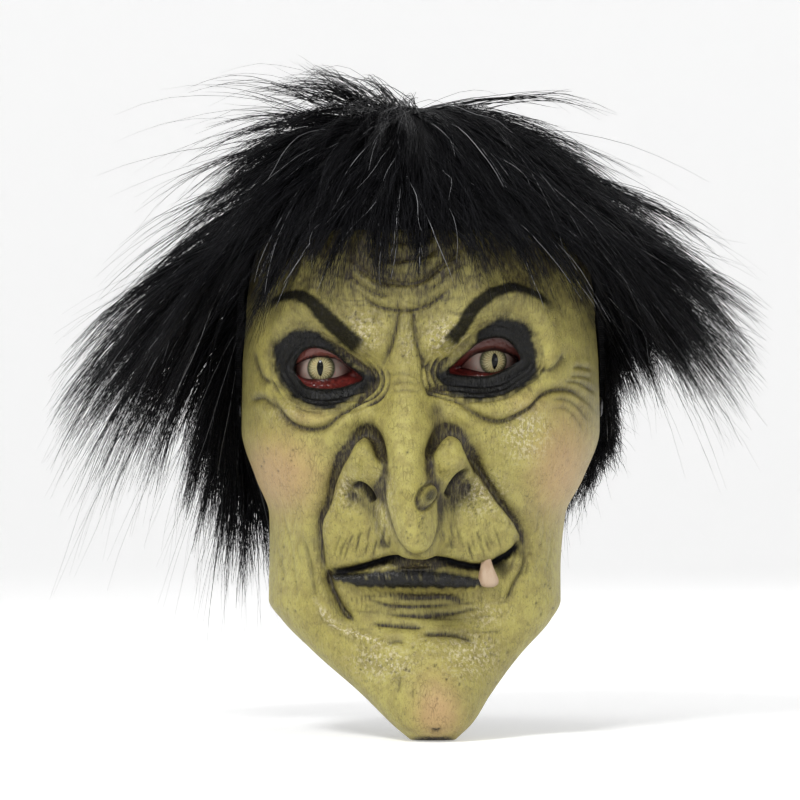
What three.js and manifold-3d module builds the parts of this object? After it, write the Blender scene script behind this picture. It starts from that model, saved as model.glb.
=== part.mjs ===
// Latex witch mask with a faux-fur wig, held on by a riveted elastic strap.
// Millimetres, +Z up, the face looks along -Y, +X is the viewer's right when facing the mask.
// The origin is at eye level on the vertical axis of the wearer's head.
import * as THREE from "three";
import { mergeVertices } from "three/addons/utils/BufferGeometryUtils.js";
import Module from "manifold-3d";

const wasm = await Module();
wasm.setup();

// ---- Driving dimensions -------------------------------------------------------------
const LATEX = 2.5; // skin thickness
const GAP = 0.3; // air left between pieces that touch
const BACKING = 2; // knitted backing of the faux fur
const GLUE = 1.6; // glue line between the latex and the backing, and the roots' room above it
const DOME_BASE = 20; // height where the skull starts to close
const DOME_RISE = 92; // from there to the crown
const SECTION_POWER = 2.4; // superellipse power of the head's horizontal sections
const CHIN_HEM = -161.5; // the flat trimmed edge under the chin
const FOREHEAD_EDGE = 78; // arc length above DOME_BASE where the latex ends under the wig

// Height table of the head: [z, half width, front reach, section centre y, back reach, sideways shift]
const HEAD = [
  [-161.5, 10, 99, -88, 9, 5],
  [-155, 17.5, 105, -83, 12, 4.5],
  [-143, 28, 103, -72, 16, 2.2],
  [-125, 46, 93, -54, 20, -1.3],
  [-112, 59, 88, -40, 24, -2],
  [-103, 64.5, 87, -32, 28, -2.7],
  [-90, 64.6, 87, -22, 40, -2.6],
  [-66, 66, 88, -8, 90, -1.5],
  [-50, 73, 88, -3, 98, -0.5],
  [-28, 80, 88, 0, 100, 0],
  [0, 79.5, 90, 0, 100, 0],
  [20, 78, 92, 0, 100, 0],
];

// Degrees round from the nose to the latex's rear edge, by height
const REAR_EDGE = [
  [-161.5, 105],
  [-112, 97],
  [-85, 91],
  [-60, 93],
  [-32, 104],
  [20, 105],
];

// The face: places are [x, z] on the front. Left and right are the viewer's, facing the mask
const EYES = {
  left: { at: [-41.5, -1], nose_side: 1, tilt: -10 },
  right: { at: [28, 2.5], nose_side: -1, tilt: 10 },
};
const EYE_HOLE = [15.5, 8.6]; // half length and half height of the almond cut in the latex
const LID_HOLE = [13.2, 6.4]; // the same for the lid liner behind it
const EYE_RADIUS = 14;
const EYE_WALL = 2;
const LID_WALL = 1.4;
const SEAT_WALL = 4.5;
const SEAT_DEPTH = 22;
const SEAT_GLUE = 1; // glue line in front of the seat
const NOSE_TIP = -72;
const TOOTH = { at: [29.5, -90], half_length: 6.2, radius: 4.1, flatness: 0.75, taper: 0.22 };
const NOSTRILS = [
  { at: [-25, -56], tilt: 28 },
  { at: [15, -55], tilt: -32 },
];
const NOSTRIL_HALF = [4.2, 1.5]; // half length and half height of each slanted slit

// Faux fur: it grows through the backing and stands off it
const PILE_ROOT = GLUE + BACKING + GLUE;
const PILE = 15; // thickness of the combed pile on the crown
const CAP_EDGE = 46; // arc length above DOME_BASE where the crown's fur meets the rest
const FRINGE_EDGE = 14; // the same for the lower edge of the fringe
const FRINGE_TURN = 48; // degrees from the nose to the fringe's ends
const SIDE_TURN = 118; // degrees from the nose to where the side fur meets the back fur
const SWEEPS = {
  left: { side: -1, out: 66, down: 66 },
  right: { side: 1, out: 53, down: 58 },
};

// Strap and its fixings, at rest level behind the head
const PIVOT_Z = -18;
const STRAP_WIDTH = 15;
const STRAP_THICK = 1.5;
const STRAP_SIDE = 74.4; // half distance between its two sides
const STRAP_BACK = 84; // from the pivot line to its straight stretch
const STRAP_STRAIGHT = 34; // half length of that stretch
const STRAP_TAB = [-7.5, -6.6, -4.5]; // distances forward of the rivets where the rounded tab is drawn
const STRAP_BEND = { leaves_side: 32, joins_back: 55 }; // handles of the curve from side to back
const SHANK = 2; // rivet shank radius
const RIVET_HEAD = 4.5;
const RIVET_ROLL = 3.2;
const WASHER = { radius: 5, thick: 0.8 };
const PATCH = { half_turn: 10, half_height: 13, thick: 1.2, gap: 0.5 };
const SLIDER = { length: 15, bar: 2, middle_bar: 2.8, rail: 2.5, thick: 1.8 };

// ---- Small maths -------------------------------------------------------------------
const rad = (d) => (d * Math.PI) / 180;
const bell = (t) => Math.exp(-t * t);
const clamp = (t, lo, hi) => Math.min(hi, Math.max(lo, t));
const smooth = (t) => {
  const c = clamp(t, 0, 1);
  return c * c * (3 - 2 * c);
};
// A rounded bump in the front view: 1 in the middle, falling to about a third at its half sizes
const hill = (x, z, [cx, cz], [sx, sz]) => bell(Math.hypot((x - cx) / sx, (z - cz) / sz));

// Monotone-friendly cubic through [key, ...values] rows, for column c
function along(rows, key, c) {
  const last = rows.length - 1;
  if (key <= rows[0][0]) return rows[0][c];
  if (key >= rows[last][0]) return rows[last][c];
  const i = rows.findIndex((r) => r[0] > key) - 1;
  const slope = (a, b) => (rows[b][c] - rows[a][c]) / (rows[b][0] - rows[a][0]);
  const tangent = (k) => {
    if (k === 0 || k === last) return slope(Math.max(0, k - 1), Math.min(last, k + 1));
    const [before, after] = [slope(k - 1, k), slope(k, k + 1)];
    return before * after <= 0 ? 0 : (2 * before * after) / (before + after);
  };
  const step = rows[i + 1][0] - rows[i][0];
  const t = (key - rows[i][0]) / step;
  const [p, q] = [rows[i][c], rows[i + 1][c]];
  const [m, n] = [tangent(i) * step, tangent(i + 1) * step];
  const [t2, t3] = [t * t, t * t * t];
  return (2 * t3 - 3 * t2 + 1) * p + (t3 - 2 * t2 + t) * m + (3 * t2 - 2 * t3) * q + (t3 - t2) * n;
}

// ---- The head surface ----------------------------------------------------------------
// turn: degrees round from the nose, towards +X. climb: height below DOME_BASE, arc length above it.
// out: distance outside the latex's outer face.
function headPoint(turn, climb, out = 0) {
  const arc = Math.max(0, climb) / DOME_RISE;
  const z = climb <= 0 ? DOME_BASE + climb : DOME_BASE + (DOME_RISE + out) * Math.sin(arc);
  const row = Math.min(z, DOME_BASE);
  const shrink = Math.cos(arc);
  const centre = along(HEAD, row, 3);
  const width = (along(HEAD, row, 1) + out) * shrink;
  const front = (along(HEAD, row, 2) + centre + out) * shrink;
  const back = (along(HEAD, row, 4) + out) * shrink;
  const [s, c] = [Math.sin(rad(turn)), Math.cos(rad(turn))];
  const reach = c >= 0 ? front : back;
  const power = SECTION_POWER;
  const r = ((Math.abs(s) / width) ** power + (Math.abs(c) / reach) ** power) ** (-1 / power);
  return new THREE.Vector3(along(HEAD, row, 5) + r * s, centre - r * c, z);
}

// Height table of the nose: [z, projection, half width, x of its ridge]
const NOSE = [
  [-86, 0, 10, -1],
  [-79, 20, 11, -1.5],
  [NOSE_TIP, 34, 12, -2],
  [-60, 35, 13.5, -4],
  [-45, 28, 14, -7],
  [-25, 18, 12, -8],
  [-6, 8, 10, -7.5],
  [12, 0, 10, -8],
];

function noseHeight(x, z) {
  if (z < NOSE[0][0] || z > NOSE[NOSE.length - 1][0]) return 0;
  const across = Math.abs(x - along(NOSE, z, 3)) / along(NOSE, z, 2);
  return along(NOSE, z, 1) * Math.exp(-(across ** 2.4));
}

// Rounded forms of the face: how far each stands out, [x, z] of its middle, its half sizes
const FORMS = [
  { form: "left nostril wing", rise: 11, at: [-26, -42], size: [9, 11] },
  { form: "right nostril wing", rise: 11, at: [15, -40], size: [9, 11] },
  { form: "frown between the brows", rise: 4, at: [-7.5, 14], size: [9, 9] },
  { form: "left cheekbone", rise: 4, at: [-64, -38], size: [17, 15] },
  { form: "right cheekbone", rise: 4, at: [60, -34], size: [17, 15] },
  { form: "upper lip", rise: 5, at: [-4, -70], size: [30, 13] },
  { form: "parting of the lips", rise: -4, at: [4, -89], size: [36, 3.5] },
  { form: "lower lip", rise: 4, at: [6, -96], size: [30, 5] },
  { form: "hollow over the chin", rise: -4, at: [2, -110], size: [26, 8] },
  { form: "chin", rise: 8, at: [8, -142], size: [18, 15] },
];
// The same round each eye, from the eye's middle; x counts away from the nose
const EYE_FORMS = [
  { form: "bag under the eye", rise: 4, at: [2, -18], size: [17, 7] },
  { form: "brow", rise: 5, at: [2, 24], size: [24, 8] },
];
const SOCKET = { depth: 12, deeper_inward: 0.33, inward_reach: 20, size: [20, 12] };

// How far the sculpted face stands in front of the plain head
function relief(x, z) {
  let r = noseHeight(x, z);
  for (const { rise, at, size } of FORMS) r += rise * hill(x, z, at, size);
  for (const { at: eye, nose_side } of Object.values(EYES)) {
    const inward = clamp((x - eye[0]) * nose_side, -SOCKET.inward_reach, SOCKET.inward_reach);
    r -= (SOCKET.depth + SOCKET.deeper_inward * inward) * hill(x, z, eye, SOCKET.size);
    for (const { rise, at, size } of EYE_FORMS)
      r += rise * hill(x, z, [eye[0] - at[0] * nose_side, eye[1] + at[1]], size);
  }
  return r;
}

// The front fades out to the sides and into the wig, so that the pieces glued there lie on a plain head
function facePoint(turn, climb, out = 0) {
  const p = headPoint(turn, climb, out);
  const fade = smooth((92 - Math.abs(turn)) / 22) * smooth((56 - p.z) / 16);
  const r = relief(p.x, p.z) * fade;
  const hook = 0.2 * Math.max(0, noseHeight(p.x, p.z) - 12) * fade;
  return new THREE.Vector3(p.x, p.y - r, p.z - hook);
}

// Turn that puts a point of the front at a given x
function turnAt(x, climb) {
  let [lo, hi] = [-90, 90];
  for (let i = 0; i < 40; i += 1) {
    const mid = (lo + hi) / 2;
    if (headPoint(mid, climb).x < x) lo = mid;
    else hi = mid;
  }
  return (lo + hi) / 2;
}

// ---- Geometry builders ----------------------------------------------------------------
function geometryOf(points, faces) {
  const g = new THREE.BufferGeometry();
  g.setAttribute("position", new THREE.Float32BufferAttribute(points.flatMap((p) => [p.x, p.y, p.z]), 3));
  g.setIndex(faces.flat());
  return g;
}

// A closed slab between two skins over a grid; us and vs are the grid lines, skin(u, v, side) the points
function thickPatch(us, vs, skin) {
  const [nu, nv] = [us.length, vs.length];
  const points = [];
  for (const side of [0, 1]) for (const v of vs) for (const u of us) points.push(skin(u, v, side));
  const at = (i, j, side) => side * nu * nv + j * nu + i;
  const faces = [];
  const quad = (a, b, c, d) => faces.push([a, b, c], [a, c, d]);
  for (let j = 0; j < nv - 1; j += 1)
    for (let i = 0; i < nu - 1; i += 1) {
      quad(at(i, j, 1), at(i + 1, j, 1), at(i + 1, j + 1, 1), at(i, j + 1, 1));
      quad(at(i, j, 0), at(i, j + 1, 0), at(i + 1, j + 1, 0), at(i + 1, j, 0));
    }
  for (let i = 0; i < nu - 1; i += 1) {
    quad(at(i, 0, 0), at(i + 1, 0, 0), at(i + 1, 0, 1), at(i, 0, 1));
    quad(at(i, nv - 1, 0), at(i, nv - 1, 1), at(i + 1, nv - 1, 1), at(i + 1, nv - 1, 0));
  }
  for (let j = 0; j < nv - 1; j += 1) {
    quad(at(0, j, 0), at(0, j, 1), at(0, j + 1, 1), at(0, j + 1, 0));
    quad(at(nu - 1, j, 0), at(nu - 1, j + 1, 0), at(nu - 1, j + 1, 1), at(nu - 1, j, 1));
  }
  return geometryOf(points, faces);
}

// A closed bowl, upside down: a thick skin all the way round with a pole at the crown
function thickDome(turns, steps, skin) {
  const points = [];
  const faces = [];
  const quad = (a, b, c, d) => faces.push([a, b, c], [a, c, d]);
  const ring = (side, j, i) => side * (turns * steps + 1) + j * turns + (i % turns);
  for (const side of [0, 1]) {
    for (let j = 0; j < steps; j += 1)
      for (let i = 0; i < turns; i += 1) points.push(skin((360 * i) / turns - 180, j / steps, side));
    points.push(skin(0, 1, side));
  }
  const pole = (side) => side * (turns * steps + 1) + turns * steps;
  for (let i = 0; i < turns; i += 1) {
    for (let j = 0; j < steps - 1; j += 1) {
      quad(ring(1, j, i), ring(1, j, i + 1), ring(1, j + 1, i + 1), ring(1, j + 1, i));
      quad(ring(0, j, i), ring(0, j + 1, i), ring(0, j + 1, i + 1), ring(0, j, i + 1));
    }
    faces.push([ring(1, steps - 1, i), ring(1, steps - 1, i + 1), pole(1)]);
    faces.push([ring(0, steps - 1, i), pole(0), ring(0, steps - 1, i + 1)]);
    quad(ring(0, 0, i), ring(0, 0, i + 1), ring(1, 0, i + 1), ring(1, 0, i));
  }
  return geometryOf(points, faces);
}

function toSolid(geometry) {
  const bare = geometry.index ? geometry.toNonIndexed() : geometry.clone();
  for (const name of Object.keys(bare.attributes)) if (name !== "position") bare.deleteAttribute(name);
  const merged = mergeVertices(bare, 1e-3);
  return new wasm.Manifold(
    new wasm.Mesh({
      numProp: 3,
      vertProperties: new Float32Array(merged.attributes.position.array),
      triVerts: new Uint32Array(merged.index.array),
    }),
  );
}

function toGeometry(solid) {
  const mesh = solid.getMesh();
  const g = new THREE.BufferGeometry();
  g.setAttribute("position", new THREE.BufferAttribute(new Float32Array(mesh.vertProperties), 3));
  g.setIndex(new THREE.BufferAttribute(new Uint32Array(mesh.triVerts), 1));
  return g;
}

const cut = (geometry, ...tools) =>
  toGeometry(tools.reduce((solid, tool) => solid.subtract(toSolid(tool)), toSolid(geometry)));
const join = (first, ...rest) =>
  toGeometry(rest.reduce((solid, more) => solid.add(toSolid(more)), toSolid(first)));
const spread = (from, to, steps) => Array.from({ length: steps + 1 }, (_, i) => from + ((to - from) * i) / steps);

// An almond prism along Y, for eye openings: pointed at both ends, tilted in the face
function almond([halfLength, halfHeight], [x, z], tilt) {
  const shape = new THREE.Shape();
  shape.moveTo(-halfLength, 0);
  shape.bezierCurveTo(-halfLength * 0.55, -halfHeight * 1.3, halfLength * 0.55, -halfHeight * 1.3, halfLength, 0);
  shape.bezierCurveTo(halfLength * 0.55, halfHeight * 1.4, -halfLength * 0.55, halfHeight * 1.4, -halfLength, 0);
  const g = new THREE.ExtrudeGeometry(shape, { depth: 90, bevelEnabled: false, curveSegments: 8 });
  return g.rotateZ(rad(tilt)).rotateX(Math.PI / 2).translate(x, -30, z);
}

// A round hole tool along X on the strap's pivot line
function cylinderX(radius, x0, x1) {
  const g = new THREE.CylinderGeometry(radius, radius, Math.abs(x1 - x0), 20);
  return g.rotateZ(Math.PI / 2).translate((x0 + x1) / 2, 0, PIVOT_Z);
}

// ---- The latex face ---------------------------------------------------------------------
// Grid lines across the face, from its left edge at -1 to its right at 1, close together on the nose
const FACE_ACROSS = spread(-1, 1, 36).map((t) => 0.36 * t + 0.64 * t ** 3);
const FACE_CLIMBS = [
  ...spread(CHIN_HEM - DOME_BASE, -118, 7),
  ...spread(-118, -62, 14).slice(1),
  ...spread(-62, 0, 8).slice(1),
  ...spread(0, FOREHEAD_EDGE, 4).slice(1),
];

const rearEdge = (climb) => along(REAR_EDGE, DOME_BASE + climb, 1);

// The latex's inner face, further in where the wall is steep so that it keeps its thickness
function latexInside(turn, climb, extra = 0) {
  const inner = facePoint(turn, climb, -LATEX - extra);
  const outer = facePoint(turn, climb);
  inner.y += Math.min(3.5, 0.12 * Math.max(0, headPoint(turn, climb).y - outer.y));
  return inner;
}

function toothGeometry(grow = 0) {
  const [length, radius] = [TOOTH.half_length + grow, TOOTH.radius + grow];
  const profile = spread(-90, 90, 10).map((a) => {
    const taper = 1 - TOOTH.taper * Math.sin(rad(a));
    return new THREE.Vector2(Math.max(0, radius * Math.cos(rad(a)) * taper), length * Math.sin(rad(a)));
  });
  const [x, z] = TOOTH.at;
  const front = facePoint(turnAt(x, z - DOME_BASE), z - DOME_BASE).y;
  const g = new THREE.LatheGeometry(profile, 16).scale(1, 1, TOOTH.flatness);
  return g.rotateX(Math.PI / 2).translate(x, front - 0.5, z);
}

// A slanted slit through the wall under a nostril wing
function nostril({ at: [x, z], tilt }) {
  const [halfLength, halfHeight] = NOSTRIL_HALF;
  const g = new THREE.CylinderGeometry(1, 1, 46, 12).scale(halfLength, 1, halfHeight);
  return g.rotateY(rad(tilt)).translate(x, -90, z);
}

function faceShell() {
  const skin = (across, climb, side) => {
    const turn = across * rearEdge(climb);
    return side === 1 ? facePoint(turn, climb) : latexInside(turn, climb);
  };
  const tools = [...NOSTRILS.map(nostril), toothGeometry(GAP)];
  for (const eye of Object.values(EYES)) {
    tools.push(almond(EYE_HOLE, eye.at, eye.tilt));
    tools.push(new THREE.SphereGeometry(EYE_RADIUS + LID_WALL + 3 * GAP, 20, 14).translate(...eyeCentre(eye)));
  }
  tools.push(cylinderX(SHANK + GAP, -95, -60), cylinderX(SHANK + GAP, 60, 95));
  return cut(thickPatch(FACE_ACROSS, FACE_CLIMBS, skin), ...tools);
}

// ---- Eyes -----------------------------------------------------------------------------
function eyeCentre(eye) {
  const [x, z] = eye.at;
  const front = facePoint(turnAt(x, z - DOME_BASE), z - DOME_BASE).y;
  return [x, front + LATEX + EYE_RADIUS - 1, z];
}

// A half-round shell with its pole towards the viewer, open at the back
function cup(radius, wall, sides, steps) {
  const arc = (r, from, to) =>
    spread(from, to, steps).map((a) => new THREE.Vector2(r * Math.cos(rad(a)), r * Math.sin(rad(a))));
  const outer = arc(radius, 0, 90);
  const inner = arc(radius - wall, 90, 0);
  outer[outer.length - 1].x = 0;
  inner[0].x = 0;
  return new THREE.LatheGeometry([...inner, ...outer], sides).rotateX(Math.PI);
}

const eyeball = (eye) => cup(EYE_RADIUS, EYE_WALL, 20, 5).translate(...eyeCentre(eye));

function lidLiner(eye) {
  const shell = cup(EYE_RADIUS + GAP + LID_WALL, LID_WALL, 20, 5).translate(...eyeCentre(eye));
  return cut(shell, almond(LID_HOLE, eye.at, eye.tilt));
}

// A ring behind the latex, its front face moulded to the latex's inside
function eyeSeat(eye) {
  const [x, y, z] = eyeCentre(eye);
  const inner = EYE_RADIUS + 2 * GAP + LID_WALL;
  const profile = [
    [inner, -SEAT_DEPTH],
    [inner + SEAT_WALL, -SEAT_DEPTH],
    [inner + SEAT_WALL, 1],
    [inner + 0.6 * SEAT_WALL, 2],
    [inner, 2],
    [inner, -SEAT_DEPTH],
  ].map((p) => new THREE.Vector2(...p));
  const ring = new THREE.LatheGeometry(profile, 24).translate(x, y, z);
  const middle = turnAt(x, z - DOME_BASE);
  const behindFace = (turn, climb, side) => {
    const p = latexInside(turn, climb, SEAT_GLUE);
    return side === 1 ? p : p.add(new THREE.Vector3(0, 40, 0));
  };
  const turns = spread(middle - 22, middle + 22, 14);
  const climbs = spread(z - DOME_BASE - 30, Math.min(z - DOME_BASE + 30, 40), 14);
  return toGeometry(toSolid(ring).intersect(toSolid(thickPatch(turns, climbs, behindFace))));
}

// ---- Wig -------------------------------------------------------------------------------
// Climb of the wig's lower edge: over the forehead, behind the temples, down to the nape
const wigEdge = (turn) => 40 - 110 * smooth((Math.abs(turn) - 65) / 60);
const domeArc = (climb) => Math.min(climb, DOME_RISE * (Math.PI / 2) * 0.999);
const crownClimb = (low, t) => low + (DOME_RISE * (Math.PI / 2) - low) * t;

function wigBacking() {
  return thickDome(42, 8, (turn, t, side) =>
    headPoint(turn, crownClimb(wigEdge(turn), t), GLUE + (side ? BACKING : 0)),
  );
}

function furCrown() {
  return thickDome(36, 5, (turn, t, side) => {
    const climb = crownClimb(CAP_EDGE, t);
    if (side === 0) return headPoint(turn, climb, PILE_ROOT);
    const tufts = 2.5 * Math.sin(rad(3 * turn + 40)) * Math.cos((climb - CAP_EDGE) / 60);
    return headPoint(turn, climb, PILE + tufts * (1 - t));
  });
}

function furPatch(turns, low, thickness) {
  return thickPatch(turns, spread(0, 1, 7), (turn, t, side) => {
    const climb = low(turn) + (CAP_EDGE - 1 - low(turn)) * t;
    return headPoint(turn, domeArc(climb), side ? thickness(turn, t) : PILE_ROOT);
  });
}

const furFringe = () =>
  furPatch(spread(-FRINGE_TURN, FRINGE_TURN, 16), () => FRINGE_EDGE, (turn, t) => 5 + (PILE - 5) * t);

const furBack = () =>
  furPatch(spread(SIDE_TURN + 1, 359 - SIDE_TURN, 18), () => wigEdge(180), (turn, t) => PILE - 3 * (1 - t));

// The combed-out locks beside the face: roots on the backing, tips thrown outwards and down
function furSide({ side, out, down }) {
  const turns = spread(FRINGE_TURN + 1, SIDE_TURN, 12).map((t) => side * t);
  if (side < 0) turns.reverse();
  const middle = (FRINGE_TURN + SIDE_TURN) / 2;
  return thickPatch(turns, spread(0, 1, 9), (turn, t, skin) => {
    const low = wigEdge(turn) + 1;
    const root = headPoint(turn, low + (CAP_EDGE - 1 - low) * t, skin ? PILE : PILE_ROOT);
    const throwOut = Math.cos(((Math.abs(turn) - middle) / (SIDE_TURN - FRINGE_TURN)) * 2.6) * (1 - t) ** 1.3;
    if (skin) root.add(new THREE.Vector3(side * out, 0, -down).multiplyScalar(Math.max(0, throwOut)));
    return root;
  });
}

// ---- Strap ------------------------------------------------------------------------------
const LATEX_SIDE = 79.9; // half width of the face at the pivot

function anchorPatch(side) {
  const climbs = spread(PIVOT_Z - DOME_BASE - PATCH.half_height, PIVOT_Z - DOME_BASE + PATCH.half_height, 6);
  const turns = spread(90 - PATCH.half_turn, 90 + PATCH.half_turn, 6).map((t) => side * t);
  if (side < 0) turns.reverse();
  const front = -LATEX - PATCH.gap;
  const body = thickPatch(turns, climbs, (turn, climb, skin) => facePoint(turn, climb, front - (skin ? 0 : PATCH.thick)));
  return cut(body, cylinderX(SHANK + GAP, 60 * side, 95 * side));
}

// Turned fixings stand along X on the pivot line; profile rows are [radius, distance from the middle plane]
function turned(side, profile) {
  const points = profile.map(([r, x]) => new THREE.Vector2(r, x));
  const g = new THREE.LatheGeometry(points, 20).rotateZ(-Math.PI / 2);
  if (side < 0) g.rotateY(Math.PI);
  return g.translate(0, 0, PIVOT_Z);
}

const washerFace = STRAP_SIDE - STRAP_THICK / 2 - GAP;

function rivet(side) {
  const head = LATEX_SIDE + 2 * GAP;
  const roll = washerFace - WASHER.thick - GAP;
  return turned(side, [
    [0, roll - 1],
    [RIVET_ROLL * 0.8, roll - 1],
    [RIVET_ROLL, roll - 0.5],
    [RIVET_ROLL, roll],
    [SHANK, roll],
    [SHANK, head],
    [RIVET_HEAD, head],
    [RIVET_HEAD, head + 0.4],
    [RIVET_HEAD * 0.7, head + 1],
    [0, head + 1.2],
  ]);
}

function washer(side) {
  const hole = SHANK + GAP;
  return turned(side, [
    [hole, washerFace - WASHER.thick],
    [WASHER.radius, washerFace - WASHER.thick],
    [WASHER.radius, washerFace],
    [hole, washerFace],
    [hole, washerFace - WASHER.thick],
  ]);
}

// Centre line of the band seen from above, from the left tab round the back to the right one
function strapRoute() {
  const side = new THREE.CubicBezierCurve(
    new THREE.Vector2(STRAP_SIDE, 0),
    new THREE.Vector2(STRAP_SIDE, STRAP_BEND.leaves_side),
    new THREE.Vector2(STRAP_BEND.joins_back, STRAP_BACK),
    new THREE.Vector2(STRAP_STRAIGHT, STRAP_BACK),
  );
  const tab = STRAP_TAB.map((y) => new THREE.Vector2(STRAP_SIDE, y));
  const right = [...tab, ...side.getPoints(16)];
  const left = right.map((p) => new THREE.Vector2(-p.x, p.y));
  return [...left, ...right.reverse()];
}

function elasticStrap() {
  const route = strapRoute();
  const band = thickPatch(spread(0, route.length - 1, route.length - 1), [-1, -0.5, 0, 0.5, 1], (i, v, skin) => {
    const [before, after] = [route[Math.max(0, i - 1)], route[Math.min(route.length - 1, i + 1)]];
    const across = new THREE.Vector2(after.x - before.x, after.y - before.y).normalize();
    const half = (skin ? -1 : 1) * (STRAP_THICK / 2);
    const rounding = route[i].y < 0 ? Math.sqrt(Math.max(0.08, 1 - (2 * route[i].y / STRAP_WIDTH) ** 2)) : 1;
    const z = PIVOT_Z + (v * rounding * STRAP_WIDTH) / 2;
    return new THREE.Vector3(route[i].x - half * across.y, route[i].y + half * across.x, z);
  });
  return cut(band, cylinderX(SHANK + GAP, -95, -60), cylinderX(SHANK + GAP, 60, 95));
}

// A ladder-lock frame: the band runs in front of its outer bars and behind its middle one
function strapSlider() {
  const { length, bar, middle_bar, rail, thick } = SLIDER;
  const depth = STRAP_THICK + 2 * GAP + 2 * thick;
  const block = (w, d, h, x, y, z) => new THREE.BoxGeometry(w, d, h).translate(x, STRAP_BACK + y, PIVOT_Z + z);
  const railAt = STRAP_WIDTH / 2 + GAP + rail / 2;
  const high = 2 * railAt;
  const off = STRAP_THICK / 2 + GAP + thick / 2;
  return join(
    block(length, depth, rail, 0, 0, railAt),
    block(length, depth, rail, 0, 0, -railAt),
    block(bar, thick, high, -(length - bar) / 2, off, 0),
    block(bar, thick, high, (length - bar) / 2, off, 0),
    block(middle_bar, thick, high, 0, -off, 0),
  );
}

// ---- The object ---------------------------------------------------------------------------
const LOOKS = {
  latex: { color: 0xa9a45a, roughness: 0.45, metalness: 0 },
  enamel: { color: 0xcaa98c, roughness: 0.35, metalness: 0 },
  acrylic: { color: 0xd8cf9a, roughness: 0.08, metalness: 0 },
  lid_latex: { color: 0x6a1c16, roughness: 0.4, metalness: 0 },
  foam: { color: 0x2b2a28, roughness: 0.95, metalness: 0 },
  knit: { color: 0x17171a, roughness: 0.9, metalness: 0 },
  fur: { color: 0x121214, roughness: 0.5, metalness: 0 },
  webbing: { color: 0x1b1b1d, roughness: 0.8, metalness: 0 },
  steel: { color: 0xb9b6ae, roughness: 0.3, metalness: 1 },
  nylon: { color: 0x1e1e20, roughness: 0.35, metalness: 0 },
};

const group = new THREE.Group();
function add(name, geometry, look) {
  const mesh = new THREE.Mesh(geometry, new THREE.MeshStandardMaterial(LOOKS[look]));
  mesh.name = name;
  group.add(mesh);
}

add("face_shell", faceShell(), "latex");
add("tooth", toothGeometry(), "enamel");
add("wig_backing", wigBacking(), "knit");
add("fur_crown", furCrown(), "fur");
add("fur_fringe", furFringe(), "fur");
add("fur_back", furBack(), "fur");
for (const [name, eye] of Object.entries(EYES)) {
  add(`eye_${name}`, eyeball(eye), "acrylic");
  add(`lid_liner_${name}`, lidLiner(eye), "lid_latex");
  add(`eye_seat_${name}`, eyeSeat(eye), "foam");
}
for (const [name, sweep] of Object.entries(SWEEPS)) {
  add(`fur_side_${name}`, furSide(sweep), "fur");
  add(`anchor_patch_${name}`, anchorPatch(sweep.side), "webbing");
  add(`rivet_${name}`, rivet(sweep.side), "steel");
  add(`washer_${name}`, washer(sweep.side), "steel");
}
add("elastic_strap", elasticStrap(), "webbing");
add("strap_slider", strapSlider(), "nylon");

export default group;
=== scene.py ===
"""Latex witch mask with a faux-fur wig: the looks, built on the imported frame.

The face is sculpted and painted in millimetres on the head's own surface, then written out in metres.
Left and right are the viewer's, facing the mask, which looks along -Y.
"""
import math

import bpy
import numpy as np
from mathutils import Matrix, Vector


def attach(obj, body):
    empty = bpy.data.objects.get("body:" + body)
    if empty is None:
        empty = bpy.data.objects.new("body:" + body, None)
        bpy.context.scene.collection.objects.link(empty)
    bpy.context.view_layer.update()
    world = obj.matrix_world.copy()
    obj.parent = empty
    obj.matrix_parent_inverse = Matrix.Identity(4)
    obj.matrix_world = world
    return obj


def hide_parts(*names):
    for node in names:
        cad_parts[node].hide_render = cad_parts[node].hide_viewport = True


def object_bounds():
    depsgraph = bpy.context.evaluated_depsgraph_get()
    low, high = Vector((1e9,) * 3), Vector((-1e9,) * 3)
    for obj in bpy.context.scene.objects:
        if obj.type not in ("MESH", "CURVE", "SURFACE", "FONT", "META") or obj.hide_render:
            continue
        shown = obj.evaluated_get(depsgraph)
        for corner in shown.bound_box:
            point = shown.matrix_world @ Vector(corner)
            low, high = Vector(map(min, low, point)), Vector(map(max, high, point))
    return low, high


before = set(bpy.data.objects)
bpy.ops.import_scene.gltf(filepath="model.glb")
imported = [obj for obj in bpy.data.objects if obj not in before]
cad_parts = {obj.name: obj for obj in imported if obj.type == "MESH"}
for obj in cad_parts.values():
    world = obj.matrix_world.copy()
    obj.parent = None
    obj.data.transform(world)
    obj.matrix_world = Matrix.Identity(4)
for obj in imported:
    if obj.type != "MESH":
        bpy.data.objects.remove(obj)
CAD_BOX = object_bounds()
MM = 0.001
SEED = 31

# ---- Driving dimensions, millimetres ---------------------------------------------------
LATEX = 2.5
BACKING = 2.0
GLUE = 1.6
DOME_BASE = 20.0
DOME_RISE = 92.0
SECTION_POWER = 2.4
CHIN_HEM = -161.5
FOREHEAD_EDGE = 78.0
HAIRLINE = 38.0  # climb above which the latex is hidden and needs few points
GROOVE_ROOM = 3.4  # how far the inner skin keeps clear of the sculpted grooves
FUR_SPARE, FUR_SPARE_SHARE = 5.5, 0.015  # how far fibres may leave the CAD's box: fixed, and share of a side

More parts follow.
